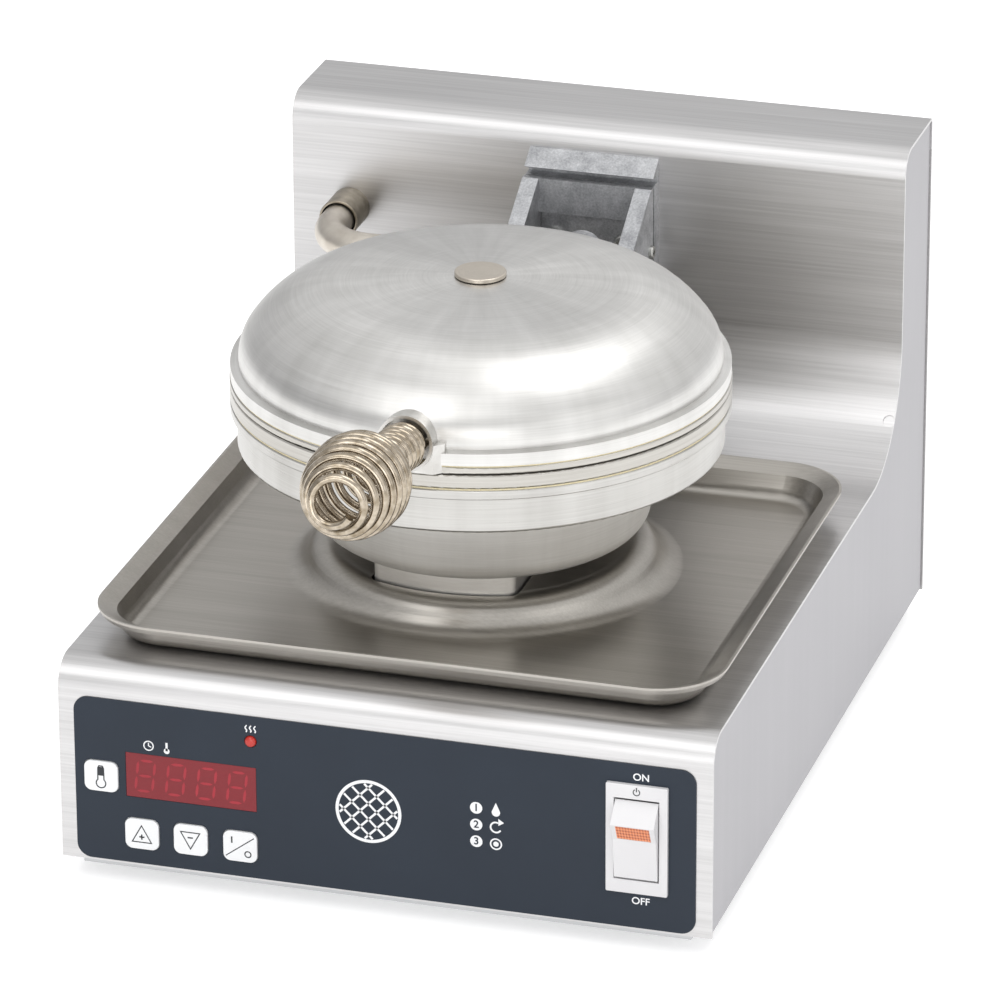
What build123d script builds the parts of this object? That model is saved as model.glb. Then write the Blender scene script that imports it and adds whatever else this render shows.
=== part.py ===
from build123d import *
import os
from math import atan2, cos, hypot, pi, radians, sin, sqrt, tan

# Round waffle maker, in millimetres. X is to the right, Y runs to the back, Z is up from the table.
# Places along Y are counted from the front panel's face, and each solid is moved when it is written,
# so that the frame's origin is under the middle of the whole object.

# Housing of bent sheet
WIDTH = 267.0
DEPTH = 350.0
HEIGHT = 216.2
DECK_HEIGHT = 84.4
RISER_DEPTH = 48.5
SHEET = 1.2
FRONT_BEND = 12.0
COVE = 48.0
TOP_BEND = 11.0
EDGE_BEND = 2.5
REAR_FLANGE = 14.0
DIMPLE_TURN = 40.0
DIMPLE_IN = 2.2
DIMPLE_RADIUS = 2.6
DIMPLE_DEPTH = 0.5
SIDE_SHEET = 1.0
SIDE_INSET = 0.6
SIDE_LIP = 13.0
SIDE_BEND = 1.4
SIDE_FRONT_LIP = 4.0
SIDE_RELIEF_HEIGHT = 66.0
BASE_SHEET = 2.0
BASE_INSET = 8.5
REAR_GAP = 0.4

# Feet and common fasteners
BASE_SCREW_MARGIN = 30.0
TIE_BOLT_X = 18.0
TIE_BOLT_BACK = 42.0
FOOT_HEIGHT = 8.0
FOOT_RADIUS = 11.0
FOOT_MARGIN_X = 36.0
FOOT_MARGIN_Y = 40.0
M3 = 1.5
M4 = 2.0
M5 = 2.5
TIE_RADIUS = 3.0
THREAD_CLEARANCE = 0.02
HOLE_CLEARANCE = 0.25
HEAD_RATIO = 1.9
HEAD_HEIGHT_RATIO = 1.1

# Rear wall
GLAND_IN = 45.5
GLAND_HEIGHT = 34.0
GLAND_REACH = 14.0
GLAND_RADIUS = 8.0
GLAND_BORE = 4.2
VENT_COUNT = 12
VENT_PITCH = 14.0
VENT_WIDTH = 4.0
VENT_LENGTH = 30.0
VENT_DROPS = (46.2, 86.2)
REAR_SCREW_LOW = 16.0
REAR_SCREW_DROP = 32.2

# Parts on the base pan
TRANSFORMER_BACK = 100.0
RELAY_IN = 68.5
RELAY_Y = 82.5
TERMINAL_BACK = 55.0
TERMINAL_PITCH = 18.0

# Control panel
LABEL_MARGIN = 6.5
LABEL_BOTTOM = 1.0
LABEL_HEIGHT = 70.0
LABEL_CORNER = 6.0
LABEL_SHEET = 0.5
WINDOW_WIDTH = 54.0
WINDOW_HEIGHT = 19.0
WINDOW_IN = 48.3
WINDOW_Z = 39.5
LENS_THICKNESS = 1.6
LAMP_IN = 73.4
LAMP_Z = 60.4
LAMP_RADIUS = 2.35
LAMP_PROUD = 1.5
KEY_WIDTH = 14.0
KEY_HEIGHT = 13.0
KEY_CORNER = 3.0
KEY_PROUD = 0.9
KEY_TRAVEL = 0.6
KEY_CLEARANCE = 0.3
KEY_FLANGE = 1.5
KEY_PLACES = {"key_temperature": (11.0, 37.4), "key_up": (27.5, 14.2),
              "key_down": (47.8, 14.4), "key_start": (68.4, 14.3)}
BOARD_DEPTH = 10.0
BOARD_THICKNESS = 1.6
STANDOFF_RADIUS = 2.8
TACT_HEIGHT = 4.2
BOARD_MARGIN = 3.0
CHIP_IN = 14.0
CHIP_WIDTH = 20.0
PLUG_IN = 42.0
PLUG_WIDTH = 18.0
BUZZER_IN = 48.0

# Rocker switch
ROCKER_PIN_GRIP = 1.0
SWITCH_IN = 23.4
SWITCH_Z = 39.6
BEZEL_WIDTH = 24.8
BEZEL_HEIGHT = 46.4
BEZEL_THICKNESS = 1.8
SWITCH_DEPTH = 26.0
SWITCH_BODY_WIDTH = 21.4
SWITCH_BODY_HEIGHT = 42.0
ROCKER_WIDTH = 17.4
ROCKER_HEIGHT = 32.6
ROCKER_RIDGE_REACH = 9.0
ROCKER_RIDGE_UP = 8.6
ROCKER_LENS_DOWN = 7.6
ROCKER_LENS_REACH = 5.2
ROCKER_TOP_REACH = 1.4
ROCKER_BOTTOM_REACH = 3.0
ROCKER_PIVOT_DEPTH = 3.5
ROCKER_WELL_DEPTH = 12.0
ROCKER_END_CLEARANCE = 1.1
ROCKER_SIDE_CLEARANCE = 0.45
ROCKER_PIN = 1.0
LENS_WIDTH = 13.6

# Head: places along the height are counted up from the deck
HEAD_Y = 135.7
COLUMN_HEIGHT = 21.1
COLUMN_HALF_WIDTH = 29.4
COLUMN_FRONT = 77.0
COLUMN_LENGTH = 118.0
COLUMN_NOSE_RADIUS = 77.0
COLUMN_CORNER = 4.5
COLUMN_WALL = 2.5
DISH_HEIGHT = 35.5
DISH_TOP_RADIUS = 73.5
DISH_BOTTOM_RADIUS = 66.8
DISH_ROUND = 10.0
SHELL_RADIUS = 97.9
SHELL_HEIGHT = 19.2
SHELL_RIM_RADIUS = 100.6
SHELL_RIM_HEIGHT = 4.0
HEAD_SHEET = 1.5
PASSAGE_RADIUS = 62.0
PASSAGE_WIRES = 12.0
DISH_SCREW_RADIUS = 67.5
GASKET = 0.6
GASKET_INSET = 0.3
LOWER_FLANGE = 6.0
LID_GAP = 0.4
UPPER_FLANGE = 2.7
GRID_RADIUS = 89.5
GRID_FLOOR = 3.5
GRID_BODY_RADIUS = 92.0
LOWER_DEPTH = 10.8
UPPER_DEPTH = 10.8
STUD_PITCH = 16.5
STUD_BASE = 11.5
STUD_TAPER = 13.0
STUD_GAP = 2.2
BAND_HEIGHT = 5.0
BAND_RADIUS = 100.3
DOME_RADIUS = 97.0
DOME_STRAIGHT = 1.9
HEEL_RADIUS = 19.0
HEEL_ANGLE = 35.4
SHOULDER_RADIUS = 48.3
SHOULDER_ANGLE = 50.0
ELEMENT_RADIUS = 55.0
ELEMENT_TUBE = 3.3
ELEMENT_LEG = 10.0
CAP_RADIUS = 10.4
CAP_HEIGHT = 1.6
CAP_STANDOFF = 0.3
POST_RADIUS = 6.0
POST_GAP = 0.1

# Spring handle
HANDLE_RAISE = 12.0
HANDLE_TILT = 7.0
HANDLE_FACE = 33.0
HANDLE_LENGTH = 90.6
HANDLE_TURNS = 17.9167
WIRE = 3.5
NECK_RADIUS = 9.8
NECK_LENGTH = 27.0
BULGE_RADIUS = 20.2
BULGE_AT = 57.0
END_FULLNESS = 2.6
NOSE_RADIUS = 9.6
NOSE_RING = 0.6
START_TUCK = 0.9
START_TUCK_LENGTH = 5.0
WIRE_BEND = 3.7
FOOT_SPARE = 0.8
BOSS_FACE_RADIUS = 11.4
BOSS_ROOT_RADIUS = 12.2
BOSS_DEPTH = 24.0
BOSS_FOOT_FRONT = 34.0
BOSS_FOOT_NARROW = 11.2
BOSS_FOOT_WIDE = 15.0
BOSS_FOOT_FLARE = 3.5
BOSS_NOTCH = 1.5
BOSS_BACK_GAP = 0.5
SOCKET_CLEARANCE = 0.4
STUD_CLEARANCE = 0.35
HANDLE_STUD_LENGTH = 22.0

# Hinge and conduit
HINGE_Y = 255.0
HINGE_RAISE = 1.7
BRACKET_HALF_WIDTH = 28.0
BRACKET_BOLT_X = 15.5
BRACKET_BOLT_RAISES = (72.0, 83.0)
ARM_THICKNESS = 7.0
PLATE_THICKNESS = 8.0
PLATE_TOP = 119.7
PLATE_HEIGHT = 53.9
NOSE_REACH = 9.8
NOSE_TOP_REACH = 1.0
NOSE_HEIGHT = 6.5
NOSE_LIP = 0.7
NOSE_GAP = 3.1
NOSE_GROOVE = 5.0
YOKE_GAP = 1.2
YOKE_WEB = 3.0
YOKE_WEB_REACH = 4.2
SPACER_WIDTH = 40.0
SPACER_HEIGHT = 10.0
SPACER_DROP = 13.5
CHEEK_SCREW_BACK = 13.5
CHEEK_SCREW_RAISE = 1.5
CHEEK_SCREW_LENGTH = 5.0
EYE_RADIUS = 10.0
WEB_HEIGHT = 14.9
KNUCKLE_RADIUS = 8.5
KNUCKLE_CLEARANCE = 0.6
HINGE_PIN = 4.0
LUG_SCREW_LENGTH = 9.0
PIN_IN_LUG = 16.0
CONDUIT_IN_LUG = 15.0
RUNNING_FIT = 0.05
LUG_HEIGHT = 16.3
LUG_GAP = 0.2
LUG_SUNK = 20.0
LUG_OVERHANG = 3.0
LUG_BEND = 5.0
LUG_RIB_X = 8.0
LUG_RIB_RADIUS = 8.7
LUG_RIB_SINK = 5.6
LUG_SCREW_X = 13.0
LUG_SCREW_RAISE = 12.8
CONDUIT_IN = 25.5
CONDUIT_RADIUS = 6.8
CONDUIT_WALL = 1.0
CONDUIT_BEND = 23.0
COLLAR_RADIUS = 8.5
COLLAR_BORE = 7.6
COLLAR_REACH = 17.0

# Drip tray
TRAY_HALF_WIDTH = 128.6
TRAY_FRONT = 11.5
TRAY_REAR_LAND = 22.3
TRAY_RIM = 13.6
TRAY_CORNER = 28.0
TRAY_SHEET = 1.0
TRAY_LIP = 6.6
TRAY_LIP_RISE = 2.8
TRAY_DRAFT = 3.5
TRAY_BEND = 6.0
TRAY_HEM = 3.0
TRAY_HEM_TUCK = 1.2
TRAY_GAP = 0.3
HILL_BACK = 2.5
HILL_SKIRT = 84.0
HILL_FOOT = 74.5
HILL_CREST = 67.0
HILL_HEIGHT = 14.6
HILL_DIP = 1.4
HILL_DIP_RADIUS = 59.5
HILL_FOOT_BEND = 11.0
HILL_CREST_BEND = 9.0
HILL_DIP_BEND = 11.0
SLOT_CLEARANCE = 1.2

# Places worked out from the sizes above
LABEL_WIDTH = WIDTH - 2 * LABEL_MARGIN
LABEL_LEFT = -LABEL_WIDTH / 2
WINDOW_X = LABEL_LEFT + WINDOW_IN
LAMP_X = LABEL_LEFT + LAMP_IN
SWITCH_X = LABEL_WIDTH / 2 - SWITCH_IN
KEYS = {name: (LABEL_LEFT + reach, z) for name, (reach, z) in KEY_PLACES.items()}
GLAND_X = -WIDTH / 2 + GLAND_IN
CONDUIT_X = -WIDTH / 2 + CONDUIT_IN
HILL_Y = HEAD_Y + HILL_BACK
TRAY_LENGTH = HILL_Y + HILL_SKIRT + TRAY_REAR_LAND - TRAY_FRONT
LOWER_EDGE = FOOT_HEIGHT + BASE_SHEET
DECK = LOWER_EDGE + DECK_HEIGHT
RISER_Y = DEPTH - RISER_DEPTH
DISH_Z = DECK + COLUMN_HEIGHT
SHELL_Z = DISH_Z + DISH_HEIGHT
LOWER_GASKET_Z = SHELL_Z + SHELL_HEIGHT
LOWER_FLANGE_Z = LOWER_GASKET_Z + GASKET
SPLIT = LOWER_FLANGE_Z + LOWER_FLANGE
UPPER_FLANGE_Z = SPLIT + LID_GAP
LID_GASKET_Z = UPPER_FLANGE_Z + UPPER_FLANGE
BAND_Z = LID_GASKET_Z + GASKET
DOME_Z = BAND_Z + BAND_HEIGHT
HEEL_X = DOME_RADIUS - HEEL_RADIUS
HEEL_Z = DOME_Z + DOME_STRAIGHT
HEEL_TURN = radians(HEEL_ANGLE)
CREST_TURN = radians(HEEL_ANGLE + SHOULDER_ANGLE)
SHOULDER_X = HEEL_X - (SHOULDER_RADIUS - HEEL_RADIUS) * cos(HEEL_TURN)
SHOULDER_Z = HEEL_Z - (SHOULDER_RADIUS - HEEL_RADIUS) * sin(HEEL_TURN)
CROWN_RADIUS = SHOULDER_RADIUS + SHOULDER_X / cos(CREST_TURN)
CROWN_Z = SHOULDER_Z - (CROWN_RADIUS - SHOULDER_RADIUS) * sin(CREST_TURN)
DOME_TOP = CROWN_Z + CROWN_RADIUS
HINGE_Z = SPLIT + HINGE_RAISE
NOTCH_Y = HEAD_Y - SHELL_RIM_RADIUS + BOSS_NOTCH
LOWER_FLOOR_Z = SPLIT - LOWER_DEPTH
UPPER_FLOOR_Z = UPPER_FLANGE_Z + UPPER_DEPTH
BOSS_BACK = HEAD_Y - GRID_BODY_RADIUS - BOSS_BACK_GAP
PANEL_BACK = SHEET
FRONT = -LABEL_SHEET

os.makedirs("parts", exist_ok=True)


def block(x0, x1, y0, y1, z0, z1):
    """A box between two corners."""
    return Pos((x0 + x1) / 2, (y0 + y1) / 2, (z0 + z1) / 2) * Box(x1 - x0, y1 - y0, z1 - z0)


def rod(radius, start, direction, length):
    """A cylinder that starts at a point and runs along a direction."""
    base = Plane(origin=start, z_dir=direction)
    return base * Cylinder(radius, length, align=(Align.CENTER, Align.CENTER, Align.MIN))


def turned(points, radii=0):
    """A solid of revolution about the head's axis, from (radius, height) corners and their rounding."""
    rounding = radii if radii else [0] * len(points)
    outline = FilletPolyline(*points, radius=rounding, close=True)
    return Pos(0, HEAD_Y, 0) * revolve(Plane.XZ * make_face(outline), Axis.Z)


def plate_on_front(width, height, x, z, y0, y1, corner=0):
    """A plate that faces the front, between two depths."""
    shape = RectangleRounded(width, height, corner) if corner else Rectangle(width, height)
    face = Plane(origin=(x, y1, z), x_dir=(1, 0, 0), z_dir=(0, -1, 0)) * shape
    return extrude(face, y1 - y0)


def screw(point, direction, radius, length):
    """A pan-head screw with a cross recess: its head stands on the point, its shank runs along direction."""
    shank = rod(radius, point, direction, length)
    head_height = radius * HEAD_HEIGHT_RATIO
    back = tuple(-part for part in direction)
    head = rod(radius * HEAD_RATIO, point, back, head_height)
    head = fillet(head.edges().sort_by(Axis(point, back))[-1], head_height * 0.45)
    frame = Plane(origin=tuple(p + b * head_height for p, b in zip(point, back)), z_dir=back)
    recess = frame * Box(radius * 1.9, radius * 0.45, head_height)
    recess += frame * Box(radius * 0.45, radius * 1.9, head_height)
    return shank + head - recess


def hole(point, direction, radius, length):
    """The tool that cuts a hole through what lies on both sides of a point."""
    start = tuple(p - d * length / 2 for p, d in zip(point, direction))
    return rod(radius, start, direction, length)


def outline(inset, floor_inset=0.0):
    """The housing's side view, drawn in by an inset, as a face in the YZ plane."""
    low = LOWER_EDGE + floor_inset
    deck = DECK - inset
    top = LOWER_EDGE + HEIGHT - inset
    back = DEPTH - inset
    points = [(inset, low), (inset, deck), (RISER_Y + inset, deck), (RISER_Y + inset, top), (back, top),
              (back, low)]
    radii = [0, FRONT_BEND - inset, COVE + inset, TOP_BEND - inset, EDGE_BEND - inset, 0]
    return make_face(FilletPolyline(*points, radius=radii, close=True))


def along_x(face, x0, x1):
    """A face drawn in Y and Z, made a solid between two places along X."""
    return extrude(Plane.YZ.offset(x0) * face, x1 - x0)


# Fastener places
SIDE_SCREW_X = WIDTH / 2 - SIDE_INSET - SIDE_LIP / 2
BASE_SCREW_X = (WIDTH / 2 - BASE_INSET + WIDTH / 2 - SIDE_INSET - SIDE_LIP) / 2
BASE_SCREWS = [(side * BASE_SCREW_X, y) for side in (-1, 1)
               for y in (BASE_SCREW_MARGIN, DEPTH / 2, DEPTH - BASE_SCREW_MARGIN)]
REAR_SCREW_HIGH = HEIGHT - REAR_SCREW_DROP
REAR_LEVELS = (REAR_SCREW_LOW, (REAR_SCREW_LOW + REAR_SCREW_HIGH) / 2, REAR_SCREW_HIGH)
REAR_SCREWS = [(side * SIDE_SCREW_X, LOWER_EDGE + z) for side in (-1, 1) for z in REAR_LEVELS]
FEET = [(side * (WIDTH / 2 - FOOT_MARGIN_X), y) for side in (-1, 1)
        for y in (FOOT_MARGIN_Y, DEPTH - FOOT_MARGIN_Y)]
TIE_BOLTS = [(x, HEAD_Y + y) for x in (-TIE_BOLT_X, TIE_BOLT_X) for y in (-TIE_BOLT_BACK, TIE_BOLT_BACK)]
BRACKET_BOLTS = [(x, DECK + z) for x in (-BRACKET_BOLT_X, BRACKET_BOLT_X) for z in BRACKET_BOLT_RAISES]
DISH_SCREWS = [(DISH_SCREW_RADIUS * cos(radians(a)), HEAD_Y + DISH_SCREW_RADIUS * sin(radians(a)))
               for a in (45, 135, 225, 315)]


def column_plan(grow):
    """The column's plan view: flat sides, a gently curved front and rounded corners."""
    back = COLUMN_FRONT + COLUMN_LENGTH
    sides = Pos(0, (COLUMN_FRONT + back) / 2) * Rectangle(2 * (COLUMN_HALF_WIDTH + grow),
                                                          COLUMN_LENGTH + 2 * grow)
    nose = Pos(0, COLUMN_FRONT + COLUMN_NOSE_RADIUS) * Circle(COLUMN_NOSE_RADIUS + grow)
    plan = sides & nose
    return fillet(plan.vertices(), COLUMN_CORNER + min(grow, 0) * 0.6)


# Switch: its housing, well and rocker share these
WELL_TOP = SWITCH_Z + ROCKER_HEIGHT / 2 + ROCKER_END_CLEARANCE
WELL_BOTTOM = SWITCH_Z - ROCKER_HEIGHT / 2 - ROCKER_END_CLEARANCE
BEZEL_FACE = FRONT - BEZEL_THICKNESS


def make_wrapper():
    """The one bent sheet that makes the front, deck, riser and top."""
    body = along_x(outline(0) - outline(SHEET), -WIDTH / 2, WIDTH / 2)
    body -= block(-WIDTH, WIDTH, SHEET, DEPTH, LOWER_EDGE - 1, LOWER_EDGE + EDGE_BEND)
    body -= block(-WIDTH, WIDTH, DEPTH - SHEET, DEPTH + 1, LOWER_EDGE - 1,
                  LOWER_EDGE + HEIGHT - REAR_FLANGE)
    body -= window_cut(KEY_CLEARANCE)
    body -= hole((LAMP_X, 0, LOWER_EDGE + LAMP_Z), (0, 1, 0), LAMP_RADIUS + HOLE_CLEARANCE, 6)
    body -= key_cuts(KEY_CLEARANCE)
    body -= plate_on_front(SWITCH_BODY_WIDTH + 0.4, SWITCH_BODY_HEIGHT + 0.4, SWITCH_X,
                           LOWER_EDGE + SWITCH_Z, -3, 4)
    for x, y in TIE_BOLTS:
        body -= hole((x, y, DECK), (0, 0, 1), TIE_RADIUS + HOLE_CLEARANCE, 6)
    body -= hole((0, HEAD_Y, DECK), (0, 0, 1), PASSAGE_WIRES, 6)
    for x, z in BRACKET_BOLTS:
        body -= hole((x, RISER_Y, z), (0, 1, 0), M5 + HOLE_CLEARANCE, 6)
    body -= hole((CONDUIT_X, RISER_Y, HINGE_Z), (0, 1, 0), COLLAR_RADIUS + THREAD_CLEARANCE, 6)
    across = (0, cos(radians(DIMPLE_TURN)), -sin(radians(DIMPLE_TURN)))
    for side in (-1, 1):
        spot = (side * (WIDTH / 2 - DIMPLE_IN), RISER_Y - COVE + COVE * across[1],
                DECK + COVE + COVE * across[2])
        body -= hole(spot, across, DIMPLE_RADIUS, 2 * DIMPLE_DEPTH)
    return body


def window_cut(grow):
    return plate_on_front(WINDOW_WIDTH + grow, WINDOW_HEIGHT + grow, WINDOW_X, LOWER_EDGE + WINDOW_Z, -3,
                          4)


def key_cuts(clearance):
    width, height = KEY_WIDTH + 2 * clearance, KEY_HEIGHT + 2 * clearance
    corner = KEY_CORNER + clearance
    cuts = [plate_on_front(width, height, x, LOWER_EDGE + z, -3, 4, corner) for x, z in KEYS.values()]
    return cuts


def make_side():
    """The right side tray: a flat L with a lip that lies inside the wrapper."""
    face_x = WIDTH / 2 - SIDE_INSET
    body = along_x(outline(SHEET), face_x - SIDE_LIP, face_x)
    rim = body.faces().sort_by(Axis.X)[-1].edges()
    body = fillet(rim, SIDE_BEND)
    body -= along_x(outline(SHEET + SIDE_SHEET, SIDE_SHEET), face_x - SIDE_LIP - 1, face_x - SIDE_SHEET)
    relief_z = LOWER_EDGE + SIDE_SHEET + 2
    body -= block(face_x - SIDE_LIP - 1, face_x - SIDE_FRONT_LIP, 0, SHEET + SIDE_SHEET + 1,
                  relief_z, relief_z + SIDE_RELIEF_HEIGHT)
    for x, y in BASE_SCREWS:
        body -= hole((x, y, LOWER_EDGE), (0, 0, 1), M3 + THREAD_CLEARANCE, 8)
    for x, z in REAR_SCREWS:
        body -= hole((x, DEPTH, z), (0, 1, 0), M4 + THREAD_CLEARANCE, 12)
    return body


def make_base():
    """The base pan with its vent slots."""
    half = WIDTH / 2 - BASE_INSET
    body = block(-half, half, SHEET, DEPTH - SHEET, LOWER_EDGE - BASE_SHEET, LOWER_EDGE)
    for side in (-1, 1):
        for index in range(VENT_COUNT):
            y = DEPTH / 2 + (index - (VENT_COUNT - 1) / 2) * VENT_PITCH
            slot = Pos(side * WIDTH / 5, y) * SlotOverall(VENT_LENGTH, VENT_WIDTH)
            body -= Pos(0, 0, LOWER_EDGE - 2 * BASE_SHEET) * extrude(slot, 4 * BASE_SHEET)
    for x, y in BASE_SCREWS:
        body -= hole((x, y, LOWER_EDGE), (0, 0, 1), M3 + HOLE_CLEARANCE, 8)
    for x, y in FEET:
        body -= hole((x, y, LOWER_EDGE), (0, 0, 1), M4 + THREAD_CLEARANCE, 8)
    return body


def make_rear():
    """The flat rear cover with two rows of vent slots."""
    top = LOWER_EDGE + HEIGHT - REAR_FLANGE - REAR_GAP
    body = block(-WIDTH / 2, WIDTH / 2, DEPTH - SHEET, DEPTH, LOWER_EDGE, top)
    for level in (HEIGHT - drop for drop in VENT_DROPS):
        for index in range(VENT_COUNT):
            x = (index - (VENT_COUNT - 1) / 2) * VENT_PITCH
            frame = Plane(origin=(x, DEPTH + 2, LOWER_EDGE + level), x_dir=(0, 0, 1), z_dir=(0, -1, 0))
            body -= extrude(frame * SlotOverall(VENT_LENGTH, VENT_WIDTH), 6)
    for x, z in REAR_SCREWS:
        body -= hole((x, DEPTH, z), (0, 1, 0), M4 + HOLE_CLEARANCE, 8)
    body -= hole((GLAND_X, DEPTH, LOWER_EDGE + GLAND_HEIGHT), (0, 1, 0), GLAND_RADIUS + THREAD_CLEARANCE,
                 8)
    return body


def make_gland():
    """The cable gland's body: a flange, a domed cap and a bore for the lead."""
    z = LOWER_EDGE + GLAND_HEIGHT
    back = DEPTH
    body = rod(GLAND_RADIUS, (GLAND_X, back - 9, z), (0, 1, 0), 9)
    hexagon = Plane(origin=(GLAND_X, back, z), z_dir=(0, 1, 0)) * RegularPolygon(GLAND_RADIUS + 3.5, 6)
    body += extrude(hexagon, 4)
    cap = rod(GLAND_RADIUS + 1.5, (GLAND_X, back + 4, z), (0, 1, 0), GLAND_REACH - 4)
    body += fillet(cap.edges().sort_by(Axis.Y)[-1], 3.5)
    return body - rod(GLAND_BORE, (GLAND_X, back - 12, z), (0, 1, 0), GLAND_REACH + 20)


def make_gland_nut():
    z = LOWER_EDGE + GLAND_HEIGHT
    face = Plane(origin=(GLAND_X, DEPTH - SHEET, z),
                 z_dir=(0, -1, 0)) * RegularPolygon(GLAND_RADIUS + 3.5, 6)
    return extrude(face, 4) - rod(GLAND_RADIUS + THREAD_CLEARANCE, (GLAND_X, DEPTH - 12, z), (0, 1, 0),
                                  20)


def make_foot(x, y):
    body = Pos(x, y, FOOT_HEIGHT / 2) * Cone(FOOT_RADIUS - 1.5, FOOT_RADIUS, FOOT_HEIGHT)
    recess = rod(M4 * HEAD_RATIO + 0.6, (x, y, 0), (0, 0, 1), 4.0)
    return body - recess - rod(M4 + THREAD_CLEARANCE, (x, y, 0), (0, 0, 1), FOOT_HEIGHT)


def make_label():
    z = LOWER_EDGE + LABEL_BOTTOM + LABEL_HEIGHT / 2
    body = plate_on_front(LABEL_WIDTH, LABEL_HEIGHT, 0, z, FRONT, 0, LABEL_CORNER)
    body -= window_cut(KEY_CLEARANCE)
    body -= hole((LAMP_X, 0, LOWER_EDGE + LAMP_Z), (0, 1, 0), LAMP_RADIUS + HOLE_CLEARANCE, 6)
    body -= key_cuts(KEY_CLEARANCE)
    return body - plate_on_front(SWITCH_BODY_WIDTH + 0.4, SWITCH_BODY_HEIGHT + 0.4, SWITCH_X,
                                 LOWER_EDGE + SWITCH_Z, -3, 4)


# The board stands behind the panel, and spans the keys, window and lamp
BOARD_LEFT = KEYS["key_temperature"][0] - KEY_WIDTH / 2 - BOARD_MARGIN
BOARD_RIGHT = KEYS["key_start"][0] + KEY_WIDTH / 2 + BOARD_MARGIN + 6
BOARD_LOW = LOWER_EDGE + KEYS["key_up"][1] - KEY_HEIGHT / 2 - BOARD_MARGIN
BOARD_HIGH = LOWER_EDGE + LAMP_Z + BOARD_MARGIN + 4
STANDOFFS = [(BOARD_LEFT + 4.5, BOARD_HIGH - 4.5), (BOARD_RIGHT - 4.5, BOARD_HIGH - 10.0),
             (BOARD_RIGHT - 3.8, BOARD_LOW + 24.0), (BOARD_LEFT + 4.5, BOARD_LOW + 4.5)]


def make_board():
    body = block(BOARD_LEFT, BOARD_RIGHT, BOARD_DEPTH, BOARD_DEPTH + BOARD_THICKNESS, BOARD_LOW,
                 BOARD_HIGH)
    for x, z in STANDOFFS:
        body -= hole((x, BOARD_DEPTH, z), (0, 1, 0), M3 + HOLE_CLEARANCE, 8)
    back = BOARD_DEPTH + BOARD_THICKNESS
    chip = BOARD_LEFT + CHIP_IN
    plug = BOARD_LEFT + PLUG_IN
    body += block(chip, chip + CHIP_WIDTH, back, back + 3.5, BOARD_LOW + 20, BOARD_LOW + 32)
    body += block(plug, plug + PLUG_WIDTH, back, back + 9, BOARD_LOW + 8, BOARD_LOW + 14)
    return body + rod(5.5, (BOARD_LEFT + BUZZER_IN, back, BOARD_HIGH - 18), (0, 1, 0), 8)


def make_standoff(x, z):
    """A pillar on the panel's back, with its screw hole."""
    body = rod(STANDOFF_RADIUS, (x, PANEL_BACK, z), (0, 1, 0), BOARD_DEPTH - PANEL_BACK)
    return body - rod(M3 + THREAD_CLEARANCE, (x, PANEL_BACK + 2, z), (0, 1, 0), BOARD_DEPTH)


def make_key(x, z):
    """A key cap with the flange that keeps it behind the panel, and its stem."""
    flange_y = PANEL_BACK + 0.1
    z = LOWER_EDGE + z
    cap = plate_on_front(KEY_WIDTH, KEY_HEIGHT, x, z, FRONT - KEY_PROUD, flange_y, KEY_CORNER)
    cap = fillet(cap.faces().sort_by(Axis.Y)[0].edges(), 0.4)
    cap += plate_on_front(KEY_WIDTH + 2 * KEY_FLANGE, KEY_HEIGHT + 2 * KEY_FLANGE, x, z, flange_y,
                          flange_y + 1, 1.0)
    return cap + rod(2.0, (x, flange_y + 1, z), (0, 1, 0), KEY_STEM)


KEY_STEM = BOARD_DEPTH - TACT_HEIGHT - (PANEL_BACK + 1.1) - KEY_TRAVEL - 0.2


def make_tact(x, z):
    z = LOWER_EDGE + z
    body = block(x - 3, x + 3, BOARD_DEPTH - 3.2, BOARD_DEPTH, z - 3, z + 3)
    return body + rod(1.7, (x, BOARD_DEPTH - 3.2, z), (0, -1, 0), TACT_HEIGHT - 3.2)


def make_switch_housing():
    """The switch's bezel and body, with the well that the rocker tilts in."""
    z = LOWER_EDGE + SWITCH_Z
    bezel = plate_on_front(BEZEL_WIDTH, BEZEL_HEIGHT, SWITCH_X, z, BEZEL_FACE, FRONT, 0.6)
    bezel = fillet(bezel.faces().sort_by(Axis.Y)[0].edges(), 0.4)
    body = bezel + plate_on_front(SWITCH_BODY_WIDTH, SWITCH_BODY_HEIGHT, SWITCH_X, z, FRONT, SWITCH_DEPTH,
                                  0.5)
    half = ROCKER_WIDTH / 2 + ROCKER_SIDE_CLEARANCE
    body -= block(SWITCH_X - half, SWITCH_X + half, BEZEL_FACE - 1, ROCKER_WELL_DEPTH,
                  LOWER_EDGE + WELL_BOTTOM, LOWER_EDGE + WELL_TOP)
    pin = (SWITCH_X - ROCKER_PIN_LENGTH / 2, ROCKER_PIVOT_DEPTH, z)
    return body - rod(ROCKER_PIN + THREAD_CLEARANCE, pin, (1, 0, 0), ROCKER_PIN_LENGTH)


ROCKER_PIN_LENGTH = ROCKER_WIDTH + 2 * ROCKER_SIDE_CLEARANCE + 2 * ROCKER_PIN_GRIP


def rocker_points():
    """The rocker's side view as (depth, height above its middle): a ridge, a lens slope and a long face."""
    half = ROCKER_HEIGHT / 2
    ridge = (-ROCKER_RIDGE_REACH, ROCKER_RIDGE_UP)
    slope_end = (-ROCKER_LENS_REACH, ROCKER_RIDGE_UP - ROCKER_LENS_DOWN)
    top, bottom = (-ROCKER_TOP_REACH, half), (-ROCKER_BOTTOM_REACH, -half)
    low_back = (ROCKER_PIVOT_DEPTH - 2, -half + 1.8)
    return top, ridge, slope_end, bottom, low_back, (7.0, -6.0), (7.0, 6.0), (2.0, half - 1.7)


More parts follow.
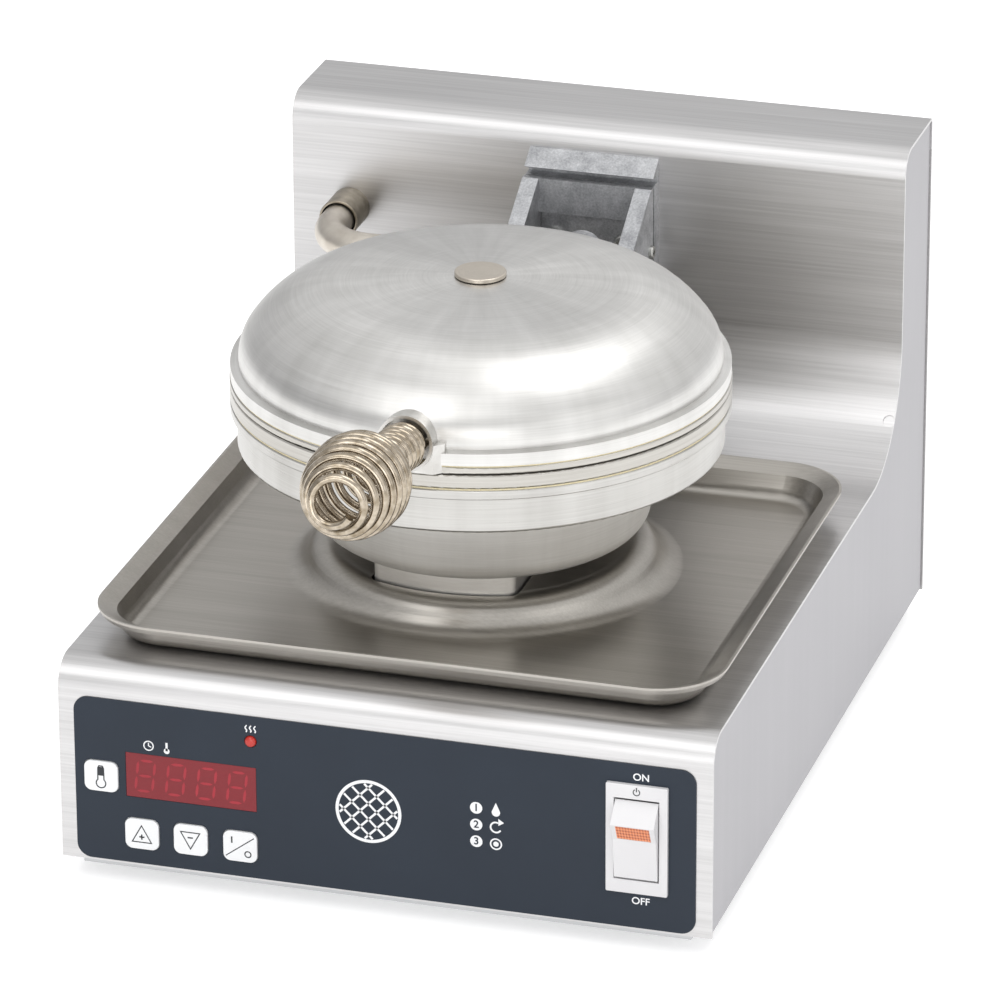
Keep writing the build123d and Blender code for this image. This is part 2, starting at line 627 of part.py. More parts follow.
def lens_outline():
    """The lens in the rocker's slope, as four (depth, height) corners."""
    _, ridge, end, *_ = rocker_points()
    length = hypot(end[0] - ridge[0], end[1] - ridge[1])
    along = ((end[0] - ridge[0]) / length, (end[1] - ridge[1]) / length)
    inward = (-along[1], along[0])
    margin, depth = 0.5, 1.4
    near = (ridge[0] + along[0] * margin, ridge[1] + along[1] * margin)
    far = (end[0] - along[0] * margin, end[1] - along[1] * margin)
    return [near, far, (far[0] + inward[0] * depth, far[1] + inward[1] * depth),
            (near[0] + inward[0] * depth, near[1] + inward[1] * depth)]


def rocker_prism(points, width):
    middle = LOWER_EDGE + SWITCH_Z
    face = make_face(Polyline(*[(y, z + middle) for y, z in points], close=True))
    return along_x(face, SWITCH_X - width / 2, SWITCH_X + width / 2)


def make_rocker():
    body = rocker_prism(rocker_points(), ROCKER_WIDTH) - rocker_prism(lens_outline(), LENS_WIDTH)
    pivot = (SWITCH_X - ROCKER_WIDTH, ROCKER_PIVOT_DEPTH, LOWER_EDGE + SWITCH_Z)
    return body - rod(ROCKER_PIN + RUNNING_FIT, pivot, (1, 0, 0), 2 * ROCKER_WIDTH)


def make_column():
    wall = column_plan(0) - column_plan(-COLUMN_WALL)
    return Pos(0, 0, DECK) * extrude(wall, COLUMN_HEIGHT)


def make_stiffener():
    under = DECK - SHEET
    body = block(-60, 60, COLUMN_FRONT, COLUMN_FRONT + COLUMN_LENGTH, under - 3, under)
    for x, y in TIE_BOLTS:
        body -= hole((x, y, under), (0, 0, 1), TIE_RADIUS + HOLE_CLEARANCE, 10)
    return body - hole((0, HEAD_Y, under), (0, 0, 1), PASSAGE_WIRES, 10)


def make_tie_bolt(x, y):
    """A long bolt from the dish, down through the column and deck, with its nut below."""
    top = DISH_Z + HEAD_SHEET
    bottom = DECK - SHEET - 3
    shank = rod(TIE_RADIUS, (x, y, bottom - 8), (0, 0, 1), top - bottom + 8)
    head = extrude(Plane(origin=(x, y, top)) * RegularPolygon(TIE_RADIUS * 1.9, 6), 4)
    nut = extrude(Plane(origin=(x, y, bottom - 5)) * RegularPolygon(TIE_RADIUS * 1.9, 6), 5)
    return shank + head + nut


def dish_points(inset):
    """The dish's outline, drawn in by its sheet: a bottom, a rounded heel and a wall that leans out."""
    return [(0, DISH_Z + inset), (DISH_BOTTOM_RADIUS - inset, DISH_Z + inset),
            (DISH_TOP_RADIUS - inset, SHELL_Z),
            (0, SHELL_Z)]


def make_dish():
    outer = turned(dish_points(0), [0, DISH_ROUND, 0, 0])
    inner = turned(dish_points(HEAD_SHEET), [0, DISH_ROUND - HEAD_SHEET, 0, 0])
    rim = turned([(PASSAGE_RADIUS, SHELL_Z - HEAD_SHEET), (DISH_TOP_RADIUS - 1, SHELL_Z - HEAD_SHEET),
                  (DISH_TOP_RADIUS - 1, SHELL_Z), (PASSAGE_RADIUS, SHELL_Z)])
    body = outer - inner + rim
    for x, y in TIE_BOLTS:
        body -= hole((x, y, DISH_Z), (0, 0, 1), TIE_RADIUS + HOLE_CLEARANCE, 8)
    for x, y in DISH_SCREWS:
        body -= hole((x, y, SHELL_Z), (0, 0, 1), M4 + THREAD_CLEARANCE, 8)
    return body - hole((0, HEAD_Y, DISH_Z), (0, 0, 1), PASSAGE_WIRES, 8)


def make_shell():
    """The lower housing: a flat bottom, a straight wall and a wider rim under the grid."""
    top = LOWER_GASKET_Z
    rim_z = top - SHELL_RIM_HEIGHT
    points = [(PASSAGE_RADIUS, SHELL_Z), (SHELL_RADIUS, SHELL_Z), (SHELL_RADIUS, rim_z),
              (SHELL_RIM_RADIUS, rim_z),
              (SHELL_RIM_RADIUS, top), (GRID_BODY_RADIUS + 1, top),
              (GRID_BODY_RADIUS + 1, top - HEAD_SHEET),
              (SHELL_RADIUS - HEAD_SHEET, top - HEAD_SHEET),
              (SHELL_RADIUS - HEAD_SHEET, SHELL_Z + HEAD_SHEET),
              (PASSAGE_RADIUS, SHELL_Z + HEAD_SHEET)]
    body = turned(points, [0, 1.5, 0, 0.6, 0.6, 0, 0, 0, 0, 0])
    for x, y in DISH_SCREWS:
        body -= hole((x, y, SHELL_Z), (0, 0, 1), M4 + HOLE_CLEARANCE, 8)
    return body


def make_gasket(z):
    edge = BAND_RADIUS - GASKET_INSET
    inside = GRID_BODY_RADIUS + 1
    return turned([(inside, z), (edge, z), (edge, z + GASKET), (inside, z + GASKET)])


def stud_places():
    """The centres of the studs whose feet fit in the round grid."""
    steps = [(i + 0.5) * STUD_PITCH for i in range(-6, 6)]
    corner = STUD_BASE * sqrt(0.5)
    return [(x, y) for x in steps for y in steps if hypot(x, y) + corner < GRID_RADIUS - 1.5]


def make_studs(z, height, upward):
    """One grid's square studs, each narrower at its tip."""
    tip = STUD_BASE - 2 * height * tan(radians(STUD_TAPER))
    foot_plane = Plane(origin=(0, 0, z))
    tip_plane = Plane(origin=(0, 0, z + height * upward))
    stud = loft([foot_plane * Rectangle(STUD_BASE, STUD_BASE), tip_plane * Rectangle(tip, tip)],
                ruled=True)
    return [Pos(x, HEAD_Y + y, 0) * stud for x, y in stud_places()]


def make_lower_grid():
    """The lower grid: a flanged casting with a round cavity full of studs."""
    under = LOWER_FLOOR_Z - GRID_FLOOR
    points = [(0, under), (GRID_BODY_RADIUS, under), (GRID_BODY_RADIUS, LOWER_FLANGE_Z),
              (SHELL_RIM_RADIUS, LOWER_FLANGE_Z),
              (SHELL_RIM_RADIUS, SPLIT), (GRID_RADIUS + 1.5, SPLIT), (GRID_RADIUS, LOWER_FLOOR_Z),
              (0, LOWER_FLOOR_Z)]
    body = turned(points, [0, 0, 0, 0.8, 0.8, 0, 2.0, 0])
    return body + make_studs(LOWER_FLOOR_Z, LOWER_DEPTH - STUD_GAP, 1)


def make_upper_grid():
    """The upper grid, turned over, with the post that holds the cover down."""
    over = UPPER_FLOOR_Z + GRID_FLOOR
    points = [(0, UPPER_FLOOR_Z), (GRID_RADIUS, UPPER_FLOOR_Z), (GRID_RADIUS + 1.5, UPPER_FLANGE_Z),
              (SHELL_RIM_RADIUS, UPPER_FLANGE_Z), (SHELL_RIM_RADIUS, LID_GASKET_Z),
              (GRID_BODY_RADIUS, LID_GASKET_Z),
              (GRID_BODY_RADIUS, over), (0, over)]
    body = turned(points, [0, 2.0, 0, 0.6, 0.6, 0, 0, 0])
    body += make_studs(UPPER_FLOOR_Z, UPPER_DEPTH - STUD_GAP, -1)
    post_top = DOME_TOP - SHEET - POST_GAP
    body += rod(POST_RADIUS, (0, HEAD_Y, over), (0, 0, 1), post_top - over)
    return body - rod(M5 + THREAD_CLEARANCE, (0, HEAD_Y, over + 4), (0, 0, 1), DOME_TOP) - rim_notch()


def arc_about(x, z, radius, start, end):
    """An arc about a centre, between two angles."""
    points = [(x + radius * cos(turn), z + radius * sin(turn))
              for turn in (start, (start + end) / 2, end)]
    return ThreePointArc(*points)


def dome_solid(inset):
    """The cover with its band, drawn in by an inset: a straight side, a heel, a shoulder and a low crown."""
    side, band = DOME_RADIUS - inset, BAND_RADIUS - inset
    band_top = DOME_Z - inset
    foot = Polyline((0, DOME_TOP - inset), (0, BAND_Z), (band, BAND_Z), (band, band_top),
                    (side, band_top + 0.6),
                    (side, HEEL_Z))
    heel = arc_about(HEEL_X, HEEL_Z, HEEL_RADIUS - inset, 0, HEEL_TURN)
    shoulder = arc_about(SHOULDER_X, SHOULDER_Z, SHOULDER_RADIUS - inset, HEEL_TURN, CREST_TURN)
    crown = arc_about(0, CROWN_Z, CROWN_RADIUS - inset, CREST_TURN, pi / 2)
    return Pos(0, HEAD_Y, 0) * revolve(Plane.XZ * make_face(foot + heel + shoulder + crown), Axis.Z)


def lid_solid():
    """The lid's whole outside, that its rear lug is cut to."""
    flange = turned([(0, UPPER_FLANGE_Z), (SHELL_RIM_RADIUS, UPPER_FLANGE_Z), (SHELL_RIM_RADIUS, BAND_Z),
                     (0, BAND_Z)])
    return dome_solid(0) + flange


def make_cover():
    body = dome_solid(0) - dome_solid(SHEET)
    body -= rod(M5 + HOLE_CLEARANCE, (0, HEAD_Y, DOME_TOP - 10), (0, 0, 1), 20)
    for x in LUG_SCREWS:
        body -= hole((x, HEAD_Y + DOME_RADIUS, LUG_SCREW_Z), (0, 1, 0), M3 + HOLE_CLEARANCE, 30)
    return body - boss_blank()


def make_cap():
    """The nickel button on the crown, with the screw that it covers."""
    top = DOME_TOP + CAP_STANDOFF + CAP_HEIGHT
    disc = rod(CAP_RADIUS, (0, HEAD_Y, top - CAP_HEIGHT), (0, 0, 1), CAP_HEIGHT)
    disc = fillet(disc.edges().sort_by(Axis.Z)[-1], 0.5)
    disc += rod(CAP_RADIUS - 2.5, (0, HEAD_Y, DOME_TOP), (0, 0, 1), CAP_STANDOFF)
    return disc + rod(M5, (0, HEAD_Y, DOME_TOP - 16), (0, 0, 1), 16)


def make_element(z, side):
    """A ring-shaped heating element whose two ends turn away from the grid."""
    sweep_angle = 330
    ring = revolve(Plane.XZ * (Pos(ELEMENT_RADIUS, z) * Circle(ELEMENT_TUBE)), Axis.Z, sweep_angle)
    body = Pos(0, HEAD_Y, 0) * Rot(0, 0, 105) * ring
    for angle in (105, 105 + sweep_angle):
        x, y = ELEMENT_RADIUS * cos(radians(angle)), HEAD_Y + ELEMENT_RADIUS * sin(radians(angle))
        body += Pos(x, y, z) * Sphere(ELEMENT_TUBE)
        body += rod(ELEMENT_TUBE, (x, y, z), (0, 0, side), ELEMENT_LEG)
    return body


# Handle: an axis that leaves the boss's face, and a coil of one wire about it
TILT = radians(HANDLE_TILT)
AXIS_OUT = Vector(0, -cos(TILT), sin(TILT))
AXIS_UP = Vector(0, sin(TILT), cos(TILT))
AXIS_SIDE = Vector(1, 0, 0)
FACE_CENTRE = Vector(0, HANDLE_FACE, SPLIT + HANDLE_RAISE + 0.4)
SOCKET_DEPTH = WIRE + WIRE_BEND + FOOT_SPARE


def coil_radius(run):
    """The coil's outside radius at a distance from the boss: a neck, a swell and a rounded nose."""
    if run < START_TUCK_LENGTH:
        return NECK_RADIUS - START_TUCK * (1 - run / START_TUCK_LENGTH)
    if run < NECK_LENGTH:
        return NECK_RADIUS
    if run < BULGE_AT:
        share = (run - NECK_LENGTH) / (BULGE_AT - NECK_LENGTH)
        return NECK_RADIUS + (BULGE_RADIUS - NECK_RADIUS) * share * share * (3 - 2 * share)
    share = min((run - BULGE_AT) / (HANDLE_LENGTH - NOSE_RING - BULGE_AT), 1)
    return NOSE_RADIUS + (BULGE_RADIUS - NOSE_RADIUS) * (1 - share ** END_FULLNESS)


def coil_point(turn):
    """The wire's centre after a number of turns."""
    run = HANDLE_LENGTH * turn / HANDLE_TURNS
    radius = coil_radius(run) - WIRE / 2
    angle = 2 * pi * turn
    return FACE_CENTRE + AXIS_OUT * run + AXIS_SIDE * (radius * cos(angle)) + AXIS_UP * (radius * sin(angle))


def coil_direction(turn):
    step = 1e-4
    before, after = max(turn - step, 0), min(turn + step, HANDLE_TURNS)
    return (coil_point(after) - coil_point(before)).normalized()


def biarc(start, start_way, end, end_way):
    """Two arcs that leave one point and reach another in the given directions."""
    span = end - start
    ways = start_way + end_way
    bend = 2 * (1 - start_way.dot(end_way))
    reach = span.dot(ways)
    length = (-reach + sqrt(reach * reach + bend * span.dot(span))) / bend
    middle = (start + start_way * length + end - end_way * length) * 0.5
    middle_way = (end - end_way * length - start - start_way * length).normalized()
    return [Edge.make_tangent_arc(start, start_way, middle),
            Edge.make_tangent_arc(middle, middle_way, end)]


def coil_path():
    """The wire's whole path: a straight foot, a bend, the turns and a straight tip."""
    first, first_way = coil_point(0), coil_direction(0)
    turn = AXIS_OUT.get_angle(first_way)
    bend_start = first - (AXIS_OUT + first_way) * (WIRE_BEND * tan(radians(turn) / 2))
    foot = bend_start - AXIS_OUT * (SOCKET_DEPTH - run_behind_face(bend_start))
    edges = [Edge.make_line(foot, bend_start), Edge.make_tangent_arc(bend_start, AXIS_OUT, first)]
    halves = int(round(HANDLE_TURNS * 2))
    for index in range(halves):
        a, b = HANDLE_TURNS * index / halves, HANDLE_TURNS * (index + 1) / halves
        edges += biarc(coil_point(a), coil_direction(a), coil_point(b), coil_direction(b))
    tip, tip_way = coil_point(HANDLE_TURNS), coil_direction(HANDLE_TURNS)
    edges.append(Edge.make_line(tip, tip + tip_way * WIRE))
    return Wire(edges), foot


def run_behind_face(point):
    """How far a point lies behind the boss's face, along the handle's axis."""
    return (FACE_CENTRE - point).dot(AXIS_OUT)


def make_spring():
    path, foot = coil_path()
    section = Plane(origin=foot, z_dir=AXIS_OUT) * Circle(WIRE / 2)
    return sweep(section, path=path)


def coil_gap():
    """The least gap between two turns of the wire, measured on points along its centre."""
    per_turn = 36
    points = [coil_point(HANDLE_TURNS * i / (per_turn * HANDLE_TURNS))
              for i in range(int(per_turn * HANDLE_TURNS))]
    apart = per_turn // 2
    return min((a - b).length for i, a in enumerate(points)
               for b in points[i + apart:i + 3 * apart]) - WIRE


def boss_blank():
    """The boss's outside: a long round sleeve on a foot that flares and reaches down to the lid's flange."""
    root = FACE_CENTRE - AXIS_OUT * BOSS_DEPTH
    sleeve = Plane(origin=root, z_dir=AXIS_OUT) * Cone(BOSS_ROOT_RADIUS, BOSS_FACE_RADIUS, BOSS_DEPTH,
                                                       align=(Align.CENTER, Align.CENTER, Align.MIN))
    front, wide_y, back = BOSS_FOOT_FRONT, BOSS_FOOT_FRONT + BOSS_FOOT_FLARE, BOSS_BACK
    plan = [(-BOSS_FOOT_NARROW, front), (BOSS_FOOT_NARROW, front), (BOSS_FOOT_WIDE, wide_y),
            (BOSS_FOOT_WIDE, back),
            (-BOSS_FOOT_WIDE, back), (-BOSS_FOOT_WIDE, wide_y)]
    low = UPPER_FLANGE_Z
    foot = Pos(0, 0, low) * extrude(make_face(Polyline(*plan, close=True)), FACE_CENTRE.Z - low)
    reach = 3 * BOSS_FOOT_WIDE
    keep = block(-reach, reach, 0, root.Y + reach, BAND_Z, DOME_TOP) + block(-reach, reach, 0, NOTCH_Y,
                                                                             low, BAND_Z)
    return (sleeve + foot) & keep


def rim_notch():
    """The flat in the lid's rim that the boss's foot lies on."""
    return block(-2 * BOSS_FOOT_WIDE, 2 * BOSS_FOOT_WIDE, 0, NOTCH_Y, SPLIT, BAND_Z)


def make_boss():
    """The boss, that ends at the cover's inside but for the floor of its socket."""
    socket = NECK_RADIUS + SOCKET_CLEARANCE
    floor = FACE_CENTRE - AXIS_OUT * SOCKET_DEPTH
    reach = 3 * BOSS_FOOT_WIDE
    inside = dome_solid(SHEET) - block(-reach, reach, 0, BOSS_BACK, 0, DOME_TOP)
    return boss_blank() - inside - rod(socket, floor, AXIS_OUT, SOCKET_DEPTH + 5)


def make_stud():
    """The stud in the coil's neck, that stands on the socket's floor."""
    floor = FACE_CENTRE - AXIS_OUT * SOCKET_DEPTH
    radius = NECK_RADIUS - START_TUCK - WIRE - STUD_CLEARANCE
    return rod(radius, floor, AXIS_OUT, SOCKET_DEPTH + HANDLE_STUD_LENGTH)


# Hinge
ARM_INSIDE = BRACKET_HALF_WIDTH - ARM_THICKNESS
KNUCKLE_HALF = ARM_INSIDE - KNUCKLE_CLEARANCE
PLATE_FACE = RISER_Y - PLATE_THICKNESS
LUG_SCREWS = (-LUG_SCREW_X, LUG_SCREW_X)
LUG_SCREW_Z = UPPER_FLANGE_Z + LUG_SCREW_RAISE
CHEEK_TOP = DECK + PLATE_TOP - NOSE_HEIGHT - NOSE_GAP
CHEEK_SCREWS = [(side * BRACKET_HALF_WIDTH, RISER_Y - CHEEK_SCREW_BACK, HINGE_Z - CHEEK_SCREW_RAISE)
                for side in (-1, 1)]


def make_bracket():
    """The cast bracket: a plate with a nose, and before it a yoke of two cheeks and a web on a spacer."""
    top = DECK + PLATE_TOP
    half = BRACKET_HALF_WIDTH
    body = block(-half, half, PLATE_FACE, RISER_Y, top - PLATE_HEIGHT, top - NOSE_HEIGHT)
    nose = [(RISER_Y, top), (RISER_Y - NOSE_TOP_REACH, top),
            (RISER_Y - NOSE_REACH, top - NOSE_HEIGHT + NOSE_LIP),
            (RISER_Y - NOSE_REACH + 1.3, top - NOSE_HEIGHT), (RISER_Y, top - NOSE_HEIGHT)]
    body += along_x(make_face(Polyline(*nose, close=True)), -half, half)
    body -= block(-half - 1, half + 1, PLATE_FACE - 1, PLATE_FACE + NOSE_GROOVE, CHEEK_TOP,
                  top - NOSE_HEIGHT)
    cheek_back = PLATE_FACE - YOKE_GAP
    web_front = PLATE_FACE - YOKE_WEB_REACH
    cheek = [(cheek_back, CHEEK_TOP), (web_front - 0.5, CHEEK_TOP),
             (HINGE_Y + 6, HINGE_Z + EYE_RADIUS - 1.5),
             (HINGE_Y, HINGE_Z), (HINGE_Y + 3, HINGE_Z - EYE_RADIUS + 0.6),
             (cheek_back, top - PLATE_HEIGHT)]
    side = make_face(Polyline(*cheek, close=True)) + Pos(HINGE_Y, HINGE_Z) * Circle(EYE_RADIUS)
    body += along_x(side, ARM_INSIDE, half) + along_x(side, -half, -ARM_INSIDE)
    body += block(-ARM_INSIDE, ARM_INSIDE, web_front, web_front + YOKE_WEB, CHEEK_TOP - WEB_HEIGHT,
                  CHEEK_TOP)
    spacer_low = CHEEK_TOP - SPACER_DROP
    body += block(-SPACER_WIDTH / 2, SPACER_WIDTH / 2, web_front + YOKE_WEB, PLATE_FACE,
                  spacer_low, spacer_low + SPACER_HEIGHT)
    body -= rod(CONDUIT_RADIUS + RUNNING_FIT, (-half - 5, HINGE_Y, HINGE_Z), (1, 0, 0), half + 3)
    body -= rod(HINGE_PIN + THREAD_CLEARANCE, (0, HINGE_Y, HINGE_Z), (1, 0, 0), half + 5)
    for x, y, z in CHEEK_SCREWS:
        body -= hole((x, y, z), (1, 0, 0), M3 + THREAD_CLEARANCE, 2 * CHEEK_SCREW_LENGTH)
    for x, z in BRACKET_BOLTS:
        body -= hole((x, PLATE_FACE, z), (0, 1, 0), M5 + HOLE_CLEARANCE, 40)
    return body


def dome_inside(z):
    """The cover's inner radius at a height in its heel."""
    return HEEL_X + sqrt((HEEL_RADIUS - SHEET) ** 2 - (z - HEEL_Z) ** 2)


def make_lug():
    """The lid's rear lug: a block on the cover's heel, a rib on its top, and a knuckle between the cheeks."""
    half = KNUCKLE_HALF
    root_y, top = HEAD_Y + BAND_RADIUS - LUG_SUNK, UPPER_FLANGE_Z + LUG_HEIGHT
    body = block(-half, half, root_y, HINGE_Y + LUG_OVERHANG, UPPER_FLANGE_Z + LUG_GAP, top)
    body = fillet(body.edges().filter_by(Axis.X).group_by(Axis.Z)[-1].sort_by(Axis.Y)[-1], LUG_BEND)
    body += rod(LUG_RIB_RADIUS, (LUG_RIB_X, root_y, top - LUG_RIB_SINK), (0, 1, 0),
                HINGE_Y + LUG_OVERHANG - 2 - root_y)
    body += rod(KNUCKLE_RADIUS, (-half, HINGE_Y, HINGE_Z), (1, 0, 0), 2 * half)
    body -= lid_solid()
    body -= rod(CONDUIT_RADIUS + RUNNING_FIT, (-half - 1, HINGE_Y, HINGE_Z), (1, 0, 0),
                CONDUIT_IN_LUG + 1)
    body -= rod(HINGE_PIN + RUNNING_FIT, (half - PIN_IN_LUG, HINGE_Y, HINGE_Z), (1, 0, 0), PIN_IN_LUG + 1)
    for x in LUG_SCREWS:
        body -= hole((x, HEAD_Y + DOME_RADIUS, LUG_SCREW_Z), (0, 1, 0), M3 + THREAD_CLEARANCE,
                     2 * LUG_SCREW_LENGTH)
    return body


def make_conduit():
    """The bent tube from the riser to the hinge: its end is the lid's left pivot and carries its leads."""
    end_x = -KNUCKLE_HALF + CONDUIT_IN_LUG - 0.5
    points = [(CONDUIT_X, RISER_Y + 14, HINGE_Z), (CONDUIT_X, HINGE_Y, HINGE_Z),
              (end_x, HINGE_Y, HINGE_Z)]
    path = FilletPolyline(*points, radius=CONDUIT_BEND)
    section = Plane(origin=points[0], z_dir=(0, -1,
                                             0)) * (Circle(CONDUIT_RADIUS)
                                                    - Circle(CONDUIT_RADIUS - CONDUIT_WALL))
    return sweep(section, path=path)


def make_collar():
    """The thin bush in the riser, with its nut inside."""
    start = (CONDUIT_X, RISER_Y - COLLAR_REACH, HINGE_Z)
    body = rod(COLLAR_RADIUS, start, (0, 1, 0), COLLAR_REACH + 8)
    body = fillet(body.edges().sort_by(Axis.Y)[0], 0.4)
    return body - rod(COLLAR_BORE, start, (0, 1, 0), COLLAR_REACH + 8)


def make_collar_nut():
    face = Plane(origin=(CONDUIT_X, RISER_Y + SHEET, HINGE_Z),
                 z_dir=(0, 1, 0)) * RegularPolygon(COLLAR_RADIUS + 2, 6)
    start = (CONDUIT_X, RISER_Y, HINGE_Z)
    return extrude(face, 4) - rod(COLLAR_RADIUS + THREAD_CLEARANCE, start, (0, 1, 0), 10)


def tray_section(shrink, corner, z):
    """One level of the drip tray: a rounded rectangle, smaller than the rim by a margin."""
    middle = TRAY_FRONT + TRAY_LENGTH / 2
    shape = RectangleRounded(2 * (TRAY_HALF_WIDTH - shrink), TRAY_LENGTH - 2 * shrink, corner)
    return Plane(origin=(0, middle, z)) * shape


def make_tray():
    """The drip tray: a drafted tray of one sheet with a lip, a hem, and a round hill slotted for the column."""
    floor, rim = DECK + TRAY_GAP, DECK + TRAY_RIM
    t = TRAY_SHEET
    wall_top = rim - TRAY_LIP_RISE - t
    foot_shrink = TRAY_LIP + TRAY_DRAFT
    foot_corner = TRAY_CORNER - foot_shrink + 1
    wall_corner = TRAY_CORNER - TRAY_LIP
    outer = loft([tray_section(foot_shrink, foot_corner, floor),
                  tray_section(TRAY_LIP, wall_corner, wall_top)], ruled=True)
    outer = fillet(outer.faces().sort_by(Axis.Z)[0].outer_wire().edges(), TRAY_BEND + t)
    outer += loft([tray_section(TRAY_LIP, wall_corner, wall_top), tray_section(0, TRAY_CORNER, rim - t)],
                  ruled=True)
    outer += extrude(tray_section(0, TRAY_CORNER, rim - t), t)
    inner = loft([tray_section(foot_shrink + t, foot_corner - t, floor + t),
                  tray_section(TRAY_LIP + t, wall_corner - t, wall_top + t * 0.7)], ruled=True)
    inner = fillet(inner.faces().sort_by(Axis.Z)[0].outer_wire().edges(), TRAY_BEND)
    inner += loft([tray_section(TRAY_LIP + t, wall_corner - t, wall_top + t * 0.7),
                   tray_section(t, TRAY_CORNER - t, rim)],
                  ruled=True)
    low = rim - TRAY_HEM
    hem = loft([tray_section(TRAY_HEM_TUCK, TRAY_CORNER - TRAY_HEM_TUCK, low),
                tray_section(0, TRAY_CORNER, rim)], ruled=True)
    hem -= loft([tray_section(TRAY_HEM_TUCK + t, TRAY_CORNER - TRAY_HEM_TUCK - t, low),
                 tray_section(t, TRAY_CORNER - t, rim)],
                ruled=True)
    body = outer - inner + hem
    body -= hole((0, HILL_Y, floor), (0, 0, 1), HILL_SKIRT, 10)
    body += make_hill(floor)
    slot = extrude(column_plan(SLOT_CLEARANCE), 60)
    half = COLUMN_HALF_WIDTH + SLOT_CLEARANCE
    slot += block(-half, half, COLUMN_FRONT + 20, TRAY_FRONT + TRAY_LENGTH + 5, 0, 60)
    return body - Pos(0, 0, DECK - 20) * slot


def sheet_below(corners, drop):
    """The other face of a bent sheet: each corner moved square to its two legs."""
    moved = []
    last = len(corners) - 1
    for index, (x, z) in enumerate(corners):
        before = corners[index - 1] if index else None
        after = corners[index + 1] if index < last else None
        lead = before if before else (2 * x - after[0], 2 * z - after[1])
        tail = after if after else (2 * x - before[0], 2 * z - before[1])
        first = atan2(z - lead[1], x - lead[0])
        second = atan2(tail[1] - z, tail[0] - x)
        middle = (first + second) / 2
        stretch = drop / cos((second - first) / 2)
        moved.append((x + stretch * sin(middle), z - stretch * cos(middle)))
    return moved


def make_hill(floor):
    """The round hill in the tray's floor, of the same sheet, with a shallow dip in its top."""
    t = TRAY_SHEET
    crest = DECK + HILL_HEIGHT
    top = [(0, crest - HILL_DIP), (HILL_DIP_RADIUS, crest - HILL_DIP), (HILL_CREST, crest),
           (HILL_FOOT, floor + t),
           (HILL_SKIRT, floor + t)]
    under = sheet_below(top, t)
    bends = [0, HILL_DIP_BEND, HILL_CREST_BEND, HILL_FOOT_BEND, 0]
    under_bends = [0, HILL_FOOT_BEND + t, HILL_CREST_BEND - t, HILL_DIP_BEND + t, 0]
    return Pos(0, HILL_Y - HEAD_Y, 0) * turned(top + under[::-1], bends + under_bends)


def group(solids):
    """Several solids of one kind, kept apart in one node."""
    return Compound(children=[solid for solid in solids])


